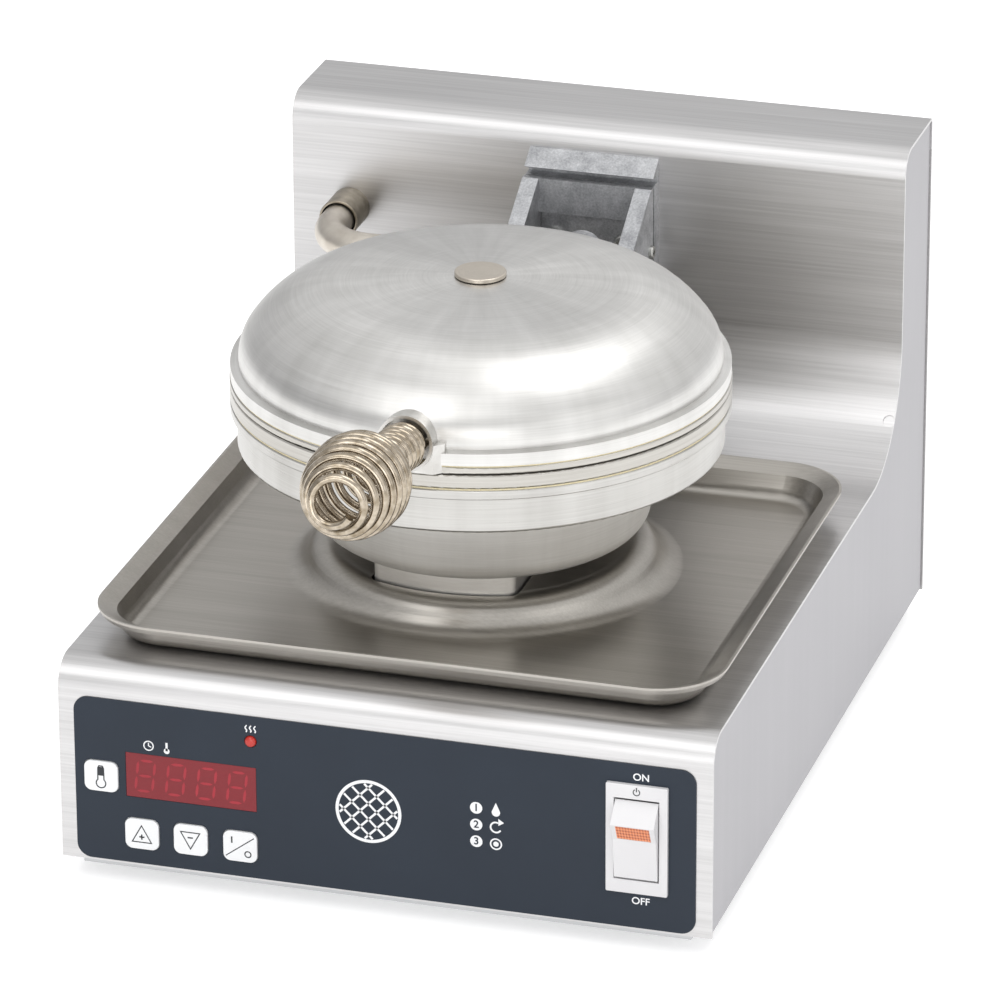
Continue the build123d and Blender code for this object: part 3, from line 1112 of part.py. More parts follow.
def make_all():
    """Every node by its name."""
    nodes = {}
    base_under = LOWER_EDGE - BASE_SHEET
    nodes["wrapper"] = make_wrapper()
    side = make_side()
    nodes["side_panel_right"] = side
    nodes["side_panel_left"] = mirror(side, Plane.YZ)
    nodes["base_pan"] = make_base()
    nodes["base_screws"] = group(screw((x, y, base_under), (0, 0, 1), M3, 7) for x, y in BASE_SCREWS)
    nodes["rear_cover"] = make_rear()
    nodes["rear_screws"] = group(screw((x, DEPTH, z), (0, -1, 0), M4, 8) for x, z in REAR_SCREWS)
    nodes["feet"] = group(make_foot(x, y) for x, y in FEET)
    nodes["foot_screws"] = group(screw((x, y, 4.0), (0, 0, 1), M4, FOOT_HEIGHT) for x, y in FEET)
    nodes["cord_gland"] = make_gland()
    nodes["gland_nut"] = make_gland_nut()
    nodes["control_label"] = make_label()
    nodes["display_window"] = plate_on_front(WINDOW_WIDTH, WINDOW_HEIGHT, WINDOW_X, LOWER_EDGE + WINDOW_Z,
                                             FRONT + 0.1, FRONT + 0.1 + LENS_THICKNESS)
    nodes["display_module"] = plate_on_front(50.3, 18.6, WINDOW_X, LOWER_EDGE + WINDOW_Z,
                                             FRONT + 0.1 + LENS_THICKNESS, BOARD_DEPTH)
    lamp = rod(LAMP_RADIUS, (LAMP_X, FRONT - LAMP_PROUD, LOWER_EDGE + LAMP_Z), (0, 1, 0),
               BOARD_DEPTH - FRONT + LAMP_PROUD)
    nodes["heat_lamp"] = fillet(lamp.edges().sort_by(Axis.Y)[0], LAMP_RADIUS * 0.7)
    nodes["control_board"] = make_board()
    nodes["board_standoffs"] = group(make_standoff(x, z) for x, z in STANDOFFS)
    nodes["tact_switches"] = group(make_tact(x, z) for x, z in KEYS.values())
    for name, (x, z) in KEYS.items():
        nodes[name] = make_key(x, z)
    nodes["switch_housing"] = make_switch_housing()
    pin = (SWITCH_X - ROCKER_PIN_LENGTH / 2, ROCKER_PIVOT_DEPTH, LOWER_EDGE + SWITCH_Z)
    nodes["rocker_pin"] = rod(ROCKER_PIN, pin, (1, 0, 0), ROCKER_PIN_LENGTH)
    nodes["rocker"] = make_rocker()
    nodes["rocker_lens"] = rocker_prism(lens_outline(), LENS_WIDTH)
    nodes["switch_terminals"] = group(block(SWITCH_X + x - 0.4, SWITCH_X + x + 0.4, SWITCH_DEPTH,
                                            SWITCH_DEPTH + 9,
                                            LOWER_EDGE + SWITCH_Z + z - 3.1,
                                            LOWER_EDGE + SWITCH_Z + z + 3.1)
                                      for x in (-5.0, 5.0) for z in (-13.0, 13.0))
    nodes.update(make_power_parts())
    nodes["column"] = make_column()
    nodes["deck_stiffener"] = make_stiffener()
    nodes["tie_bolts"] = group(make_tie_bolt(x, y) for x, y in TIE_BOLTS)
    nodes["pedestal_dish"] = make_dish()
    nodes["lower_shell"] = make_shell()
    nodes["shell_screws"] = group(screw((x, y, SHELL_Z + HEAD_SHEET), (0, 0, -1), M4, 6) for x,
                                  y in DISH_SCREWS)
    nodes["lower_gasket"] = make_gasket(LOWER_GASKET_Z)
    nodes["lower_grid"] = make_lower_grid()
    lower_under = LOWER_FLOOR_Z - GRID_FLOOR
    nodes["lower_element"] = make_element(lower_under - ELEMENT_TUBE, -1)
    nodes["high_limit"] = rod(8.0, (24.0, HEAD_Y, lower_under - 7), (0, 0, 1), 7)
    nodes["temperature_probe"] = rod(3.0, (-24.0, HEAD_Y, lower_under - 12), (0, 0, 1), 12)
    nodes["drip_tray"] = make_tray()
    nodes["lid_cover"] = make_cover()
    nodes["lid_gasket"] = make_gasket(LID_GASKET_Z) - rim_notch()
    nodes["upper_grid"] = make_upper_grid()
    nodes["upper_element"] = make_element(UPPER_FLOOR_Z + GRID_FLOOR + ELEMENT_TUBE, 1)
    nodes["lid_cap"] = make_cap()
    nodes["handle_boss"] = make_boss()
    nodes["handle_stud"] = make_stud()
    nodes["handle_spring"] = make_spring()
    nodes["lid_lug"] = make_lug()
    head = M3 * HEAD_RATIO
    inner_y = HEAD_Y + sqrt(dome_inside(LUG_SCREW_Z + head) ** 2 - (LUG_SCREW_X + head) ** 2)
    nodes["lug_screws"] = group(screw((x, inner_y, LUG_SCREW_Z), (0, 1, 0), M3, LUG_SCREW_LENGTH)
                                for x in LUG_SCREWS)
    nodes["hinge_bracket"] = make_bracket()
    nodes["bracket_bolts"] = group(screw((x, PLATE_FACE, z), (0, 1, 0), M5, PLATE_THICKNESS + 8) for x,
                                   z in BRACKET_BOLTS)
    nodes["cheek_screws"] = group(screw((x, y, z), (-x / abs(x), 0, 0), M3, CHEEK_SCREW_LENGTH) for x, y,
                                  z in CHEEK_SCREWS)
    pin_start = KNUCKLE_HALF - PIN_IN_LUG + 0.5
    nodes["hinge_pin"] = rod(HINGE_PIN, (pin_start, HINGE_Y, HINGE_Z), (1, 0, 0),
                             BRACKET_HALF_WIDTH - pin_start + 1)
    nodes["conduit"] = make_conduit()
    nodes["conduit_collar"] = make_collar()
    nodes["collar_nut"] = make_collar_nut()
    return nodes


def make_power_parts():
    """The parts on the base pan: a transformer, a relay and the mains terminal block by the gland."""
    low = LOWER_EDGE
    y = DEPTH - TRANSFORMER_BACK
    transformer = block(-30, 30, y - 25, y + 25, low, low + 40) + block(-44, 44, y - 18, y + 18, low,
                                                                        low + 2.5)
    transformer += block(-19, 19, y - 32, y + 32, low + 6, low + 34)
    x = WIDTH / 2 - RELAY_IN
    relay = block(x - 15, x + 15, RELAY_Y - 22.5, RELAY_Y + 22.5, low, low + 28)
    relay += block(x - 20, x + 20, RELAY_Y - 7.5, RELAY_Y + 7.5, low, low + 2.5)
    y = DEPTH - TERMINAL_BACK
    terminal = block(GLAND_X - 27.5, GLAND_X + 27.5, y - 10, y + 10, low, low + 6)
    for index in (-1, 0, 1):
        x = GLAND_X + index * TERMINAL_PITCH
        terminal += block(x - 7, x + 7, y - 8, y + 8, low + 6, low + 20)
        terminal -= rod(2.6, (x, y, low + 14), (0, 0, 1), 10)
    return {"transformer": transformer, "relay": relay, "terminal_block": terminal}


def handle_tip():
    """How far in front of the panel the wire's foremost point stands."""
    return -min(coil_point(HANDLE_TURNS - i / 36).Y for i in range(36)) + WIRE / 2


NODES = make_all()
SHIFT = -(DEPTH + GLAND_REACH - handle_tip()) / 2
for name, shape in NODES.items():
    export_step(Pos(0, SHIFT, 0) * shape, f"parts/{name}.step")

print("front panel's face at y =", round(SHIFT, 3))
print("lid hinge at y, z =", round(HINGE_Y + SHIFT, 3), round(HINGE_Z, 3))
print("rocker pivot at x, y, z =", SWITCH_X, round(ROCKER_PIVOT_DEPTH + SHIFT, 3),
      round(LOWER_EDGE + SWITCH_Z, 3))
print("cord gland at x, y, z =", GLAND_X, round(DEPTH + SHIFT, 3), LOWER_EDGE + GLAND_HEIGHT)
print("feet at", [(x, round(y + SHIFT, 3)) for x, y in FEET])
print("least gap of the handle's wire to itself =", round(coil_gap(), 3))
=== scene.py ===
import bpy
import bmesh
from math import atan, cos, hypot, pi, radians, sin, sqrt
from mathutils import Matrix, Vector


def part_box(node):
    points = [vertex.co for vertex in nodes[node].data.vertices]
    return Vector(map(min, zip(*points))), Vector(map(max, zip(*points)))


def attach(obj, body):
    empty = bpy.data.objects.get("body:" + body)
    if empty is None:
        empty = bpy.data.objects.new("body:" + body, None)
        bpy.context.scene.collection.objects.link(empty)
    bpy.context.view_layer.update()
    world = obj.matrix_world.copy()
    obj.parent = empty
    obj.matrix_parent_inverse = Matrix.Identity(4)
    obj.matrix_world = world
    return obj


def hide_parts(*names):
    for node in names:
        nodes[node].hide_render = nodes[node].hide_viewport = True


# Round waffle maker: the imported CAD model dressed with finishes, printed marks and a smooth coiled handle
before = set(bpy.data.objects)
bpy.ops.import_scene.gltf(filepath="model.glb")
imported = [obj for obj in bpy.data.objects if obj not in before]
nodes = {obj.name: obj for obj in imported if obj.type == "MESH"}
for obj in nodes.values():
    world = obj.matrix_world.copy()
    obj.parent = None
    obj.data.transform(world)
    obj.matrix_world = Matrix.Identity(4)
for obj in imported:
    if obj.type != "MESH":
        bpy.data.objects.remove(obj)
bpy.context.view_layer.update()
MM = 0.001

# Places read from the model, in metres
LABEL_LOW, LABEL_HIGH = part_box("control_label")
LABEL_Y = LABEL_LOW[1]
FRONT_Y = LABEL_HIGH[1]
BASE_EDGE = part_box("wrapper")[0][2]
HEAD_LOW, HEAD_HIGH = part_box("lower_grid")
HEAD_Y = (HEAD_LOW[1] + HEAD_HIGH[1]) / 2
SPLIT = HEAD_HIGH[2]


# Node expressions: one wrapper for shader and geometry trees
class Value:
    """A socket in a tree. Plain arithmetic on it adds Math nodes."""

    def __init__(self, tree, socket):
        self.tree = tree
        self.socket = socket

    def math(self, operation, *others):
        return self.tree.add("ShaderNodeMath", {"operation": operation}, [self, *others])

    def __add__(self, other):
        return self.math("ADD", other)

    def __radd__(self, other):
        return self.math("ADD", other)

    def __sub__(self, other):
        return self.math("SUBTRACT", other)

    def __rsub__(self, other):
        return self.tree.add("ShaderNodeMath", {"operation": "SUBTRACT"}, [other, self])

    def __mul__(self, other):
        return self.math("MULTIPLY", other)

    def __rmul__(self, other):
        return self.math("MULTIPLY", other)

    def __truediv__(self, other):
        return self.math("DIVIDE", other)

    def __pow__(self, other):
        return self.math("POWER", other)

    def __neg__(self):
        return self.math("MULTIPLY", -1.0)

    def at_least(self, other):
        return self.math("MAXIMUM", other)

    def at_most(self, other):
        return self.math("MINIMUM", other)

    def sine(self):
        return self.math("SINE")

    def cosine(self):
        return self.math("COSINE")

    def root(self):
        return self.math("SQRT")

    def clipped(self):
        return self.at_least(0.0).at_most(1.0)


class Tree:
    """A node tree with one method that adds any node."""

    def __init__(self, tree):
        self.tree = tree

    def add(self, kind, settings=None, inputs=None, output=0):
        node = self.tree.nodes.new(kind)
        for name, value in (settings or {}).items():
            if name == "stops":
                ramp = node.color_ramp.elements
                while len(ramp) < len(value):
                    ramp.new(0.5)
                for stop, (place, colour) in zip(ramp, value):
                    stop.position = place
                    stop.color = (*colour, 1.0)
            else:
                setattr(node, name, value)
        pairs = inputs.items() if isinstance(inputs, dict) else enumerate(inputs or [])
        for key, value in pairs:
            self.plug(node.inputs[key], value)
        found = node.outputs[output] if len(node.outputs) else None
        return Value(self, found) if found else node

    def plug(self, socket, value):
        if isinstance(value, Value):
            self.tree.links.new(value.socket, socket)
        elif value is not None:
            socket.default_value = value


class Finish(Tree):
    """A material built on one Principled shader."""

    def __init__(self, name):
        self.material = bpy.data.materials.new(name)
        self.material.use_nodes = True
        super().__init__(self.material.node_tree)
        self.tree.nodes.clear()
        self.shader = self.tree.nodes.new("ShaderNodeBsdfPrincipled")
        out = self.tree.nodes.new("ShaderNodeOutputMaterial")
        self.tree.links.new(self.shader.outputs[0], out.inputs["Surface"])
        self.place = self.add("ShaderNodeTexCoord", output="Object")

    def set(self, **values):
        for name, value in values.items():
            self.plug(self.shader.inputs[name.replace("_", " ").title().replace("Ior", "IOR")], value)
        return self

    def mapped(self, scale, location=(0, 0, 0), turn=(0, 0, 0)):
        return self.add("ShaderNodeMapping", None, {"Vector": self.place, "Location": location,
                                                   "Rotation": turn, "Scale": scale})

    def noise(self, scale, stretch=(1, 1, 1), detail=2.0, rough=0.5, location=(0, 0, 0)):
        vector = self.mapped(stretch, location)
        return self.add("ShaderNodeTexNoise", None,
                        {"Vector": vector, "Scale": scale, "Detail": detail, "Roughness": rough}, "Fac")

    def noise_at(self, vector, scale, detail=2.0, rough=0.5):
        return self.add("ShaderNodeTexNoise", None,
                        {"Vector": vector, "Scale": scale, "Detail": detail, "Roughness": rough}, "Fac")

    def parts(self):
        split = self.tree.nodes.new("ShaderNodeSeparateXYZ")
        self.tree.links.new(self.place.socket, split.inputs[0])
        return [Value(self, split.outputs[i]) for i in range(3)]

    def join(self, x, y, z):
        return self.add("ShaderNodeCombineXYZ", None, [x, y, z])

    def blend(self, share, low, high):
        low = low if isinstance(low, Value) else (*low, 1.0)
        high = high if isinstance(high, Value) else (*high, 1.0)
        return self.add("ShaderNodeMix", {"data_type": "RGBA"}, {0: share, 6: low, 7: high}, 2)

    def relief(self, height, distance, strength=1.0):
        bump = self.add("ShaderNodeBump", None,
                        {"Strength": strength, "Distance": distance, "Height": height})
        self.plug(self.shader.inputs["Normal"], bump)
        return self

    def done(self):
        return self.material


def colour(code):
    """A display colour such as C8C7C5 as linear light."""
    parts = [int(code[i:i + 2], 16) / 255 for i in (0, 2, 4)]
    return tuple(p / 12.92 if p <= 0.04045 else ((p + 0.055) / 1.055) ** 2.4 for p in parts)


# Metal finishes
def brushed(name, pale, dark, rough, grain=900.0, along=0, relief=0.00002, spread=0.12,
            gloss_spread=0.10):
    """Sheet metal with fine straight grain along one axis, faint wider streaks and soft cloudiness."""
    finish = Finish(name)
    thin, wide = [1.0, 1.0, 1.0], [1.0, 1.0, 1.0]
    thin[along], wide[along] = 0.012, 0.03
    fine = finish.noise(grain, thin, 2.0, 0.7)
    streak = finish.noise(grain / 9, wide, 2.0, 0.6, (0.3, 0.1, 0.2))
    cloud = finish.noise(9.0, (1, 1, 1), 2.0, 0.5, (0.7, 0.2, 0.4))
    mix = (fine * 0.55 + streak * 0.30 + cloud * 0.15 - 0.5) * (spread * 10) + 0.5
    finish.set(base_color=finish.blend(mix.clipped(), dark, pale), metallic=1.0,
               roughness=rough + (fine - 0.5) * gloss_spread + (cloud - 0.5) * 0.12)
    return finish.relief(fine, relief, 0.6).done()


def spun(name, pale, dark, rough, centre, grain=1400.0, relief=0.00001, painted_rays=0.0, streak=0.0):
    """Spun or turned metal: fine rings about the head's axis, with faint rays of painted highlight and
    painted shade in the colour.
    """
    finish = Finish(name)
    x, y, z = finish.parts()
    away_x, away_y = x - centre[0], y - centre[1]
    ring = (away_x * away_x + away_y * away_y).root()
    around = away_y.math("ARCTAN2", away_x)
    fine = finish.noise_at(finish.join(ring, z, around * 0.0015), grain, 2.0, 0.7)
    wide = finish.noise_at(finish.join(ring * 0.3, z * 0.3, around * 0.002), grain / 6, 2.0, 0.6)
    cloud = finish.noise(14.0, (1, 1, 1), 2.0, 0.5)
    # The last term paints faint radial rays of highlight and shade into the base colour, standing in for
    # the spun finish's reflections.
    mix = fine * 0.5 + wide * 0.3 + cloud * 0.2 + painted_rays * (finish.noise_at(
        finish.join(around.sine(), around.cosine(), ring * 4), 6.0, 3.0, 0.6) - 0.5)
    finish.set(base_color=finish.blend(((mix - 0.5) * 1.5 + 0.5).clipped(), dark, pale), metallic=1.0,
               roughness=rough + (fine - 0.5) * 0.10 + (cloud - 0.5) * 0.14, anisotropic=streak)
    return finish.relief(fine * 0.7 + wide * 0.3, relief, 0.5).done()


def cast(name, pale, dark, rough, size=1200.0, relief=0.00012):
    """A sand-cast surface: fine grain with softer lumps and darker pits."""
    finish = Finish(name)
    grain = finish.noise(size, detail=3.0, rough=0.6)
    lumps = finish.noise(size / 7, detail=2.0)
    cloud = finish.noise(size / 40, detail=2.0)
    mix = ((grain - 0.5) * 1.6 + (lumps - 0.5) * 1.2 + (cloud - 0.5) * 1.2 + 0.5).clipped()
    finish.set(base_color=finish.blend(mix, dark, pale), metallic=1.0,
               roughness=rough + (grain - 0.5) * 0.2)
    return finish.relief(grain * 0.6 + lumps * 0.4, relief, 0.6).done()


def plain_metal(name, pale, dark, rough, size=300.0):
    """Small steel or plated pieces: slight cloudiness and fine marks."""
    finish = Finish(name)
    cloud = finish.noise(size, detail=3.0)
    marks = finish.noise(size * 5, detail=2.0)
    finish.set(base_color=finish.blend(((cloud - 0.5) * 2 + 0.5).clipped(), dark, pale), metallic=1.0,
               roughness=rough + (marks - 0.5) * 0.16)
    return finish.relief(marks, 0.00002, 0.3).done()


def moulded(name, pale, dark, rough, grain=2500.0, relief=0.00002, coat=0.0, specular=0.5):
    """Moulded plastic or rubber: a fine grained skin with slight shifts of tone."""
    finish = Finish(name)
    skin = finish.noise(grain, detail=2.0)
    cloud = finish.noise(30.0, detail=2.0)
    finish.set(base_color=finish.blend(((cloud - 0.5) * 1.4 + (skin - 0.5) * 0.4 + 0.5).clipped(), dark,
                                       pale),
               roughness=rough + (skin - 0.5) * 0.12, coat_weight=coat, specular_ior_level=specular)
    return finish.relief(skin, relief, 0.4).done()


def lens_ribs():
    """The amber lens: small raised squares in rows, with painted highlight on their tops and painted shade
    in the grooves.
    """
    finish = Finish("amber_ribbed_lens")
    x, y, z = finish.parts()
    ribs = (x * (2 * pi / 0.00115)).sine() * 0.5 + 0.5
    rows = (z * (2 * pi / 0.0016)).sine() * 0.5 + 0.5
    rib_height_and_painted_light = (ribs * 0.6 + rows * 0.6).clipped()
    # The colour follows the ribs' height: paler on the raised squares and darker in the grooves, as painted
    # highlight and shade.
    finish.set(base_color=finish.blend(rib_height_and_painted_light, colour("A34425"), colour("F09A6C")), roughness=0.32)
    return finish.relief(rib_height_and_painted_light, 0.00025, 0.8).done()


def red_filter():
    """The display's window: deep red with the faint cells of the digits' filter."""
    finish = Finish("display_filter")
    grid = finish.noise(700.0, (1.0, 1.0, 2.2), 1.0)
    cloud = finish.noise(40.0, detail=2.0)
    finish.set(base_color=finish.blend((grid * 0.5 + cloud * 0.5).clipped(), colour("6E0F1A"),
                                       colour("861520")),
               roughness=0.34 + (cloud - 0.5) * 0.08)
    return finish.relief(grid, 0.00002, 0.2).done()


def woven(name, pale, dark):
    """The woven gasket: fine strands over and under."""
    finish = Finish(name)
    strands = finish.noise(2600.0, (1, 1, 1), 2.0)
    finish.set(base_color=finish.blend(((strands - 0.5) * 2.4 + 0.5).clipped(), dark, pale),
               roughness=0.85)
    return finish.relief(strands, 0.00012, 0.7).done()


AXIS_XY = (0.0, HEAD_Y)
STEEL = brushed("brushed_stainless", colour("DBDADA"), colour("B3B2B2"), 0.37, spread=0.17)
REAR_STEEL = brushed("rear_stainless", colour("CFCECD"), colour("A9A8A7"), 0.34)
SIDE_STEEL = brushed("matte_side_sheet", colour("B2B1B4"), colour("9F9EA1"), 0.46, 1100.0, 2, 0.000012,
                     0.08, 0.06)
BASE_SHEET = brushed("galvanised_base", colour("C9CACB"), colour("A8A9AB"), 0.45, 260.0, 0, 0.00001, 0.2,
                     0.12)
DISH_METAL = spun("spun_dish", colour("F4F3F0"), colour("DAD8D4"), 0.56, AXIS_XY, painted_rays=0.5, streak=0.4)
SLEEVE_STEEL = brushed("column_sleeve", colour("F0EEEA"), colour("D8D5D0"), 0.42, 900.0, 0)
TRAY_STEEL = brushed("satin_tray_sheet", colour("C2BEB8"), colour("95918A"), 0.34, 1300.0, 0, 0.000003,
                     0.13, 0.08)
DOME_METAL = spun("spun_dome", colour("E4E3E1"), colour("C2C1BE"), 0.38, AXIS_XY, painted_rays=0.6, streak=0.6)
PLATE_METAL = spun("turned_housing", colour("CFCECB"), colour("A9A7A3"), 0.30, AXIS_XY, painted_rays=0.5,
                   streak=0.6)
GRID_METAL = spun("machined_grid", colour("D2D0CB"), colour("A19D96"), 0.34, AXIS_XY)
CAST_METAL = cast("cast_aluminium", colour("CFD0D2"), colour("999A9D"), 0.48)
BOSS_METAL = cast("polished_casting", colour("E0DFDC"), colour("C4C2BE"), 0.32, 300.0, 0.00002)
NICKEL = plain_metal("warm_nickel", colour("C6BBAB"), colour("897C68"), 0.16)
CAP_NICKEL = spun("cap_nickel", colour("DDD5C8"), colour("BDB4A8"), 0.30, AXIS_XY)
CONDUIT = plain_metal("conduit_steel", colour("DAD4CA"), colour("BDB5AA"), 0.36, 120.0)
COLLAR = plain_metal("dull_bronze", colour("B5AC9C"), colour("857D70"), 0.34, 200.0)
SCREW_STEEL = plain_metal("zinc_screw", colour("C8C8C4"), colour("93938F"), 0.30)
DARK_STEEL = plain_metal("heat_darkened_steel", colour("6F675F"), colour("3B3632"), 0.45, 90.0)
BRASS = plain_metal("brass_tab", colour("D2B36A"), colour("A5863F"), 0.32)
RUBBER = moulded("foot_rubber", colour("262626"), colour("141414"), 0.75, 1500.0, 0.00005)
DARK_PLASTIC = moulded("dark_moulding", colour("2E2E2F"), colour("1B1B1C"), 0.5)
FILM = moulded("label_film", colour("2A323D"), colour("262D37"), 0.42, 3500.0, 0.000006, specular=0.25)
PRINT = moulded("white_print", colour("F4F5F6"), colour("E9EAEC"), 0.5)
DARK_PRINT = moulded("dark_print", colour("2B2E33"), colour("1E2024"), 0.5)
KEY_WHITE = moulded("key_white", colour("F5F6F7"), colour("EAEBED"), 0.45, 3000.0, 0.000006)
SWITCH_GREY = moulded("switch_grey", colour("E3E2E3"), colour("D6D5D7"), 0.34, 3000.0, 0.000008)
LENS = lens_ribs()
RED_WINDOW = red_filter()
DIGIT_RED = moulded("unlit_digits", colour("A92432"), colour("98202D"), 0.4)
LAMP_RED = moulded("lamp_red", colour("C42E22"), colour("AE241B"), 0.3, coat=0.3)
BOARD = moulded("circuit_board", colour("2C6B45"), colour("1D4E31"), 0.5, 600.0)
RELAY_BODY = moulded("relay_case", colour("24272C"), colour("17191D"), 0.4)
CORE = cast("laminated_core", colour("5D5855"), colour("383432"), 0.55, 400.0)
GASKET = woven("woven_gasket", colour("EFE6C8"), colour("D6C9A2"))


# The CAD nodes and their finishes
def dress(finish, *names):
    for name in names:
        piece = nodes[name]
        if not piece.material_slots:
            piece.data.materials.append(finish)
        for place in piece.material_slots:
            place.material = finish


dress(STEEL, "wrapper")
dress(REAR_STEEL, "rear_cover")
dress(SIDE_STEEL, "side_panel_left", "side_panel_right")
dress(BASE_SHEET, "base_pan", "deck_stiffener")
dress(SLEEVE_STEEL, "column")
dress(TRAY_STEEL, "drip_tray")
dress(DOME_METAL, "lid_cover")
dress(PLATE_METAL, "lower_shell")
dress(DISH_METAL, "pedestal_dish")
dress(GRID_METAL, "lower_grid", "upper_grid")
dress(CAST_METAL, "hinge_bracket", "lid_lug")
dress(BOSS_METAL, "handle_boss")
dress(NICKEL, "handle_spring", "handle_stud")
dress(CAP_NICKEL, "lid_cap")
dress(CONDUIT, "conduit")
dress(COLLAR, "conduit_collar", "collar_nut")
dress(SCREW_STEEL, "base_screws", "rear_screws", "foot_screws", "shell_screws", "lug_screws",
      "bracket_bolts",
      "tie_bolts", "cheek_screws", "board_standoffs", "rocker_pin", "hinge_pin", "high_limit")
dress(DARK_STEEL, "lower_element", "upper_element", "temperature_probe")
dress(BRASS, "switch_terminals")
dress(RUBBER, "feet")
dress(DARK_PLASTIC, "cord_gland", "gland_nut", "tact_switches")
dress(FILM, "control_label")
dress(KEY_WHITE, "key_temperature", "key_up", "key_down", "key_start")
dress(SWITCH_GREY, "switch_housing", "rocker")
dress(LENS, "rocker_lens")
dress(RED_WINDOW, "display_window")
dress(RELAY_BODY, "relay", "terminal_block", "display_module")
dress(LAMP_RED, "heat_lamp")
dress(BOARD, "control_board")
dress(CORE, "transformer")
dress(GASKET, "lower_gasket", "lid_gasket")


# Pieces made here
def keep_mesh(source, name, finish, body, smooth=True):
    """Turns an object's evaluated shape into a plain mesh piece at the origin."""
    bpy.context.view_layer.update()
    mesh = bpy.data.meshes.new_from_object(source.evaluated_get(bpy.context.evaluated_depsgraph_get()))
    mesh.transform(source.matrix_world)
    bpy.data.objects.remove(source)
    piece = bpy.data.objects.new(name, mesh)
    bpy.context.scene.collection.objects.link(piece)
    mesh.materials.clear()
    mesh.materials.append(finish)
    for face in mesh.polygons:
        face.use_smooth = smooth
    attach(piece, body)
    return piece


WIRE_POINTS = 1100
WIRE_SIDES = 18
FOOT_SHARE = 0.02
HANDLE_FOOT_BACK = 33 * MM
HANDLE_FOOT_UP = 12.4 * MM


def wound_handle():
    """The handle's coil: one wire whose radius about the axis follows a neck, a swell and a nose."""
    group = bpy.data.node_groups.new("wound_wire", "GeometryNodeTree")
    sizes = {"Turns": 17.9167, "Length": 90.6 * MM, "Foot": 8.0 * MM, "Wire": 3.5 * MM,
             "Neck Radius": 9.8 * MM, "Neck Length": 27 * MM, "Swell Radius": 20.2 * MM,
             "Swell Place": 57 * MM, "Nose Radius": 9.6 * MM, "Nose Ring": 0.6 * MM,
             "Nose Fullness": 2.6, "Tuck": 0.9 * MM, "Tuck Length": 5 * MM, "Tilt": radians(7)}
    for name in sizes:
        group.interface.new_socket(name, in_out="INPUT", socket_type="NodeSocketFloat")
    group.interface.new_socket("Finish", in_out="INPUT", socket_type="NodeSocketMaterial")
    group.interface.new_socket("Geometry", in_out="OUTPUT", socket_type="NodeSocketGeometry")
    tree = Tree(group)
    given = group.nodes.new("NodeGroupInput")
    size = {name: Value(tree, given.outputs[name]) for name in sizes}
    line = tree.add("GeometryNodeCurvePrimitiveLine", None, {"Start": (0, 0, 0), "End": (0, 0, 1)})
    line = tree.add("GeometryNodeResampleCurve", None, {"Curve": line, "Count": WIRE_POINTS})
    share = tree.add("GeometryNodeSplineParameter", output="Factor")
    turns = (share - FOOT_SHARE).at_least(0.0) * size["Turns"] / (1 - FOOT_SHARE)
    foot = (FOOT_SHARE - share).at_least(0.0) * size["Foot"] / FOOT_SHARE
    run = turns * size["Length"] / size["Turns"]
    rise = ((run - size["Neck Length"]) / (size["Swell Place"] - size["Neck Length"])).clipped()
    rise = rise * rise * (3.0 - rise * 2.0)
    nose_run = size["Length"] - size["Nose Ring"] - size["Swell Place"]
    fall = ((run - size["Swell Place"]) / nose_run).clipped()
    fall = fall ** size["Nose Fullness"]
    tuck = (1.0 - run / size["Tuck Length"]).at_least(0.0) * size["Tuck"]
    grown = size["Neck Radius"] + (size["Swell Radius"] - size["Neck Radius"]) * rise
    outer = grown - (size["Swell Radius"] - size["Nose Radius"]) * fall - tuck
    middle = outer - size["Wire"] / 2.0
    angle = turns * (2 * pi)
    side, lift, out = middle * angle.cosine(), middle * angle.sine(), run - foot
    across = size["Tilt"].cosine()
    slope = size["Tilt"].sine()
    place = tree.add("ShaderNodeCombineXYZ", None,
                     [side, lift * slope - out * across, lift * across + out * slope])
    line = tree.add("GeometryNodeSetPosition", None, {"Geometry": line, "Position": place})
    section = tree.add("GeometryNodeCurvePrimitiveCircle", None,
                       {"Resolution": WIRE_SIDES, "Radius": size["Wire"] / 2.0})
    tube = tree.add("GeometryNodeCurveToMesh", None,
                    {"Curve": line, "Profile Curve": section, "Fill Caps": True})
    tube = tree.add("GeometryNodeRealizeInstances", None, [tube])
    tube = tree.add("GeometryNodeSetMaterial", None,
                    {"Geometry": tube, "Material": Value(tree, given.outputs["Finish"])})
    out_node = group.nodes.new("NodeGroupOutput")
    group.links.new(tube.socket, out_node.inputs["Geometry"])
    holder = bpy.data.objects.new("wire_maker", bpy.data.meshes.new("wire_maker"))
    holder.location = (0, FRONT_Y + HANDLE_FOOT_BACK, SPLIT + HANDLE_FOOT_UP)
    bpy.context.scene.collection.objects.link(holder)
    change = holder.modifiers.new("wound_wire", "NODES")
    change.node_group = group
    for item in group.interface.items_tree:
        if item.in_out == "INPUT":
            change[item.identifier] = NICKEL if item.name == "Finish" else sizes[item.name]
    piece = keep_mesh(holder, "coiled_handle", NICKEL, "lid")
    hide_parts("handle_spring")
    return piece


wound_handle()

